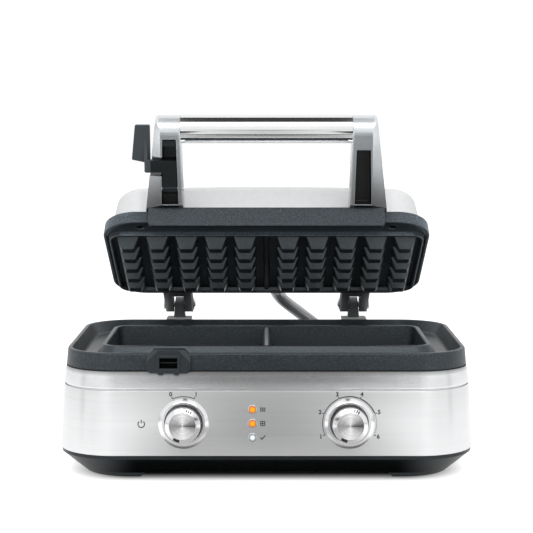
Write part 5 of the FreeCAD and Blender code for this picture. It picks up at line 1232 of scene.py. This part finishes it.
class WAFFLE_OT_stage(bpy.types.Operator):
    """Make the floor, the soft lights, the world and the camera"""

    bl_idname = "waffle.stage"
    bl_label = "Stage"

    def execute(self, context):
        scene = context.scene
        scene.view_settings.view_transform = "Standard"
        self.floor(scene)
        self.cards(scene)
        self.lights(scene)
        self.world(scene)
        self.camera(scene)
        return {"FINISHED"}

    def plane(self, scene, name, middle, across, along, material):
        """Flat four-cornered stage piece."""
        corners = [np.add(middle, i * across + j * along) for i, j in SQUARE]
        mesh = bpy.data.meshes.new(name)
        mesh.from_pydata([tuple(corner) for corner in corners], [], [(0, 1, 2, 3)])
        mesh.materials.append(material)
        mesh.uv_layers.new().data.foreach_set("uv", [0, 0, 1, 0, 1, 1, 0, 1])
        piece = bpy.data.objects.new(name, mesh)
        scene.collection.objects.link(piece)
        return piece

    def floor(self, scene):
        """White table that keeps the shadow close to the feet and glows white away from them, by the distance
        from the rectangle of the footprint."""
        made, tree = new_finish("white table", (0.40, 0.40, 0.40), 0.95, Specular_IOR_Level=0.1,
                                Emission_Color=(1, 1, 1, 1))
        away = worked_vector(tree, "SUBTRACT", worked_vector(tree, "ABSOLUTE", object_place(tree)), FOOTPRINT)
        away = worked_vector(tree, "LENGTH", worked_vector(tree, "MAXIMUM", away, (0, 0, 0)))
        path = add_node(tree, "LightPath").outputs
        seen = worked(tree, "MULTIPLY_ADD", path["Is Glossy Ray"], MIRRORED_TABLE, path["Is Camera Ray"])
        far = spread(tree, away, *SHADOW_RANGE, curve="SMOOTHSTEP")
        shaded(tree, Emission_Strength=worked(tree, "MULTIPLY", far, seen))
        across, along = np.eye(3)[:2] * TABLE_REACH
        self.plane(scene, "table", (0, 0, 0), across, along, made)

    def cards(self, scene):
        """Dark cards with soft edges that are seen only in reflections."""
        for kind, (away, y, z), half, cover, soft in CARDS:
            wide, deep, tall = np.diag(half)
            across, along = (wide, deep + tall) if half[0] else (deep, tall)
            for name, x in sides(kind, away):
                card = self.plane(scene, name, (x, y, z), across, along, self.card_finish(name, cover, soft))
                card.visible_camera = card.visible_shadow = card.visible_diffuse = False

    def card_finish(self, name, cover, soft):
        """Black whose cover falls off towards the edges of the card."""
        made, tree = new_finish(name.replace("_", " "), (0.004, 0.004, 0.004), 1.0, Specular_IOR_Level=0.0)
        place = separate(tree, add_node(tree, "TexCoord").outputs["UV"])
        for part, share in zip(place, soft):
            fade = spread(tree, worked(tree, "PINGPONG", part, 0.5), 0.0, share, curve="SMOOTHSTEP")
            cover = worked(tree, "MULTIPLY", fade, cover)
        shaded(tree, Alpha=cover)
        return made

    def lights(self, scene):
        """Soft light from above that leaves no mirror image, a softbox in front and one at each side."""
        for kind, (away, y, z), aim, size, power, mirrored in LIGHTS:
            for name, x in sides(kind, away):
                lamp = bpy.data.lights.new(name, "AREA")
                lamp.shape = "RECTANGLE"
                lamp.size, lamp.size_y = size
                lamp.energy = power
                piece = bpy.data.objects.new(name, lamp)
                piece.location = x, y, z
                piece.rotation_euler = (Vector(aim) - piece.location).to_track_quat("-Z", "Y").to_euler()
                piece.visible_glossy = mirrored
                scene.collection.objects.link(piece)

    def world(self, scene):
        """White background for what is seen and mirrored, softer for the light that it sheds."""
        scene.world = bpy.data.worlds.new("studio")
        scene.world.use_nodes = True
        tree = scene.world.node_tree
        path = add_node(tree, "LightPath").outputs
        shown = worked(tree, "MAXIMUM", path["Is Camera Ray"], path["Is Glossy Ray"])
        shown = worked(tree, "MAXIMUM", shown, path["Is Transmission Ray"])
        feed(tree, tree.nodes["Background"], Color=(1, 1, 1, 1),
             Strength=spread(tree, shown, 0.0, 1.0, WORLD_LIGHT, 1.0))

    def camera(self, scene):
        """Long lens a little above the part, tipped down."""
        lens = bpy.data.cameras.new("camera")
        lens.sensor_width = 36.0
        lens.lens = CAMERA_LENS
        eye = bpy.data.objects.new("camera", lens)
        eye.location = CAMERA_PLACE
        eye.rotation_euler = (math.pi / 2 - CAMERA_TIP, 0, 0)
        scene.collection.objects.link(eye)
        scene.camera = eye


class WAFFLE_PT_panel(bpy.types.Panel):
    """Lists the steps and their settings"""

    bl_label = "Waffle maker"
    bl_idname = "WAFFLE_PT_panel"
    bl_space_type = "VIEW_3D"
    bl_region_type = "UI"
    bl_category = "Waffle maker"

    def draw(self, context):
        for settings in (context.scene.waffle_sizes, context.scene.waffle_colours):
            for name in settings.__annotations__:
                self.layout.prop(settings, name)
        for step in STEPS:
            self.layout.operator(step.bl_idname)


STEPS = (WAFFLE_OT_finishes, WAFFLE_OT_dress_solids, WAFFLE_OT_base, WAFFLE_OT_tray, WAFFLE_OT_lid,
         WAFFLE_OT_conduit, WAFFLE_OT_handle, WAFFLE_OT_controls, WAFFLE_OT_stage)
CLASSES = (WaffleSizes, WaffleColours) + STEPS + (WAFFLE_PT_panel,)


def register():
    for kind in CLASSES:
        bpy.utils.register_class(kind)
    bpy.types.Scene.waffle_sizes = bpy.props.PointerProperty(type=WaffleSizes)
    bpy.types.Scene.waffle_colours = bpy.props.PointerProperty(type=WaffleColours)


def unregister():
    del bpy.types.Scene.waffle_sizes
    del bpy.types.Scene.waffle_colours
    for kind in reversed(CLASSES):
        bpy.utils.unregister_class(kind)


def main():
    register()
    for step in STEPS:
        group, name = step.bl_idname.split(".")
        getattr(getattr(bpy.ops, group), name)()


if __name__ == "__main__":
    main()
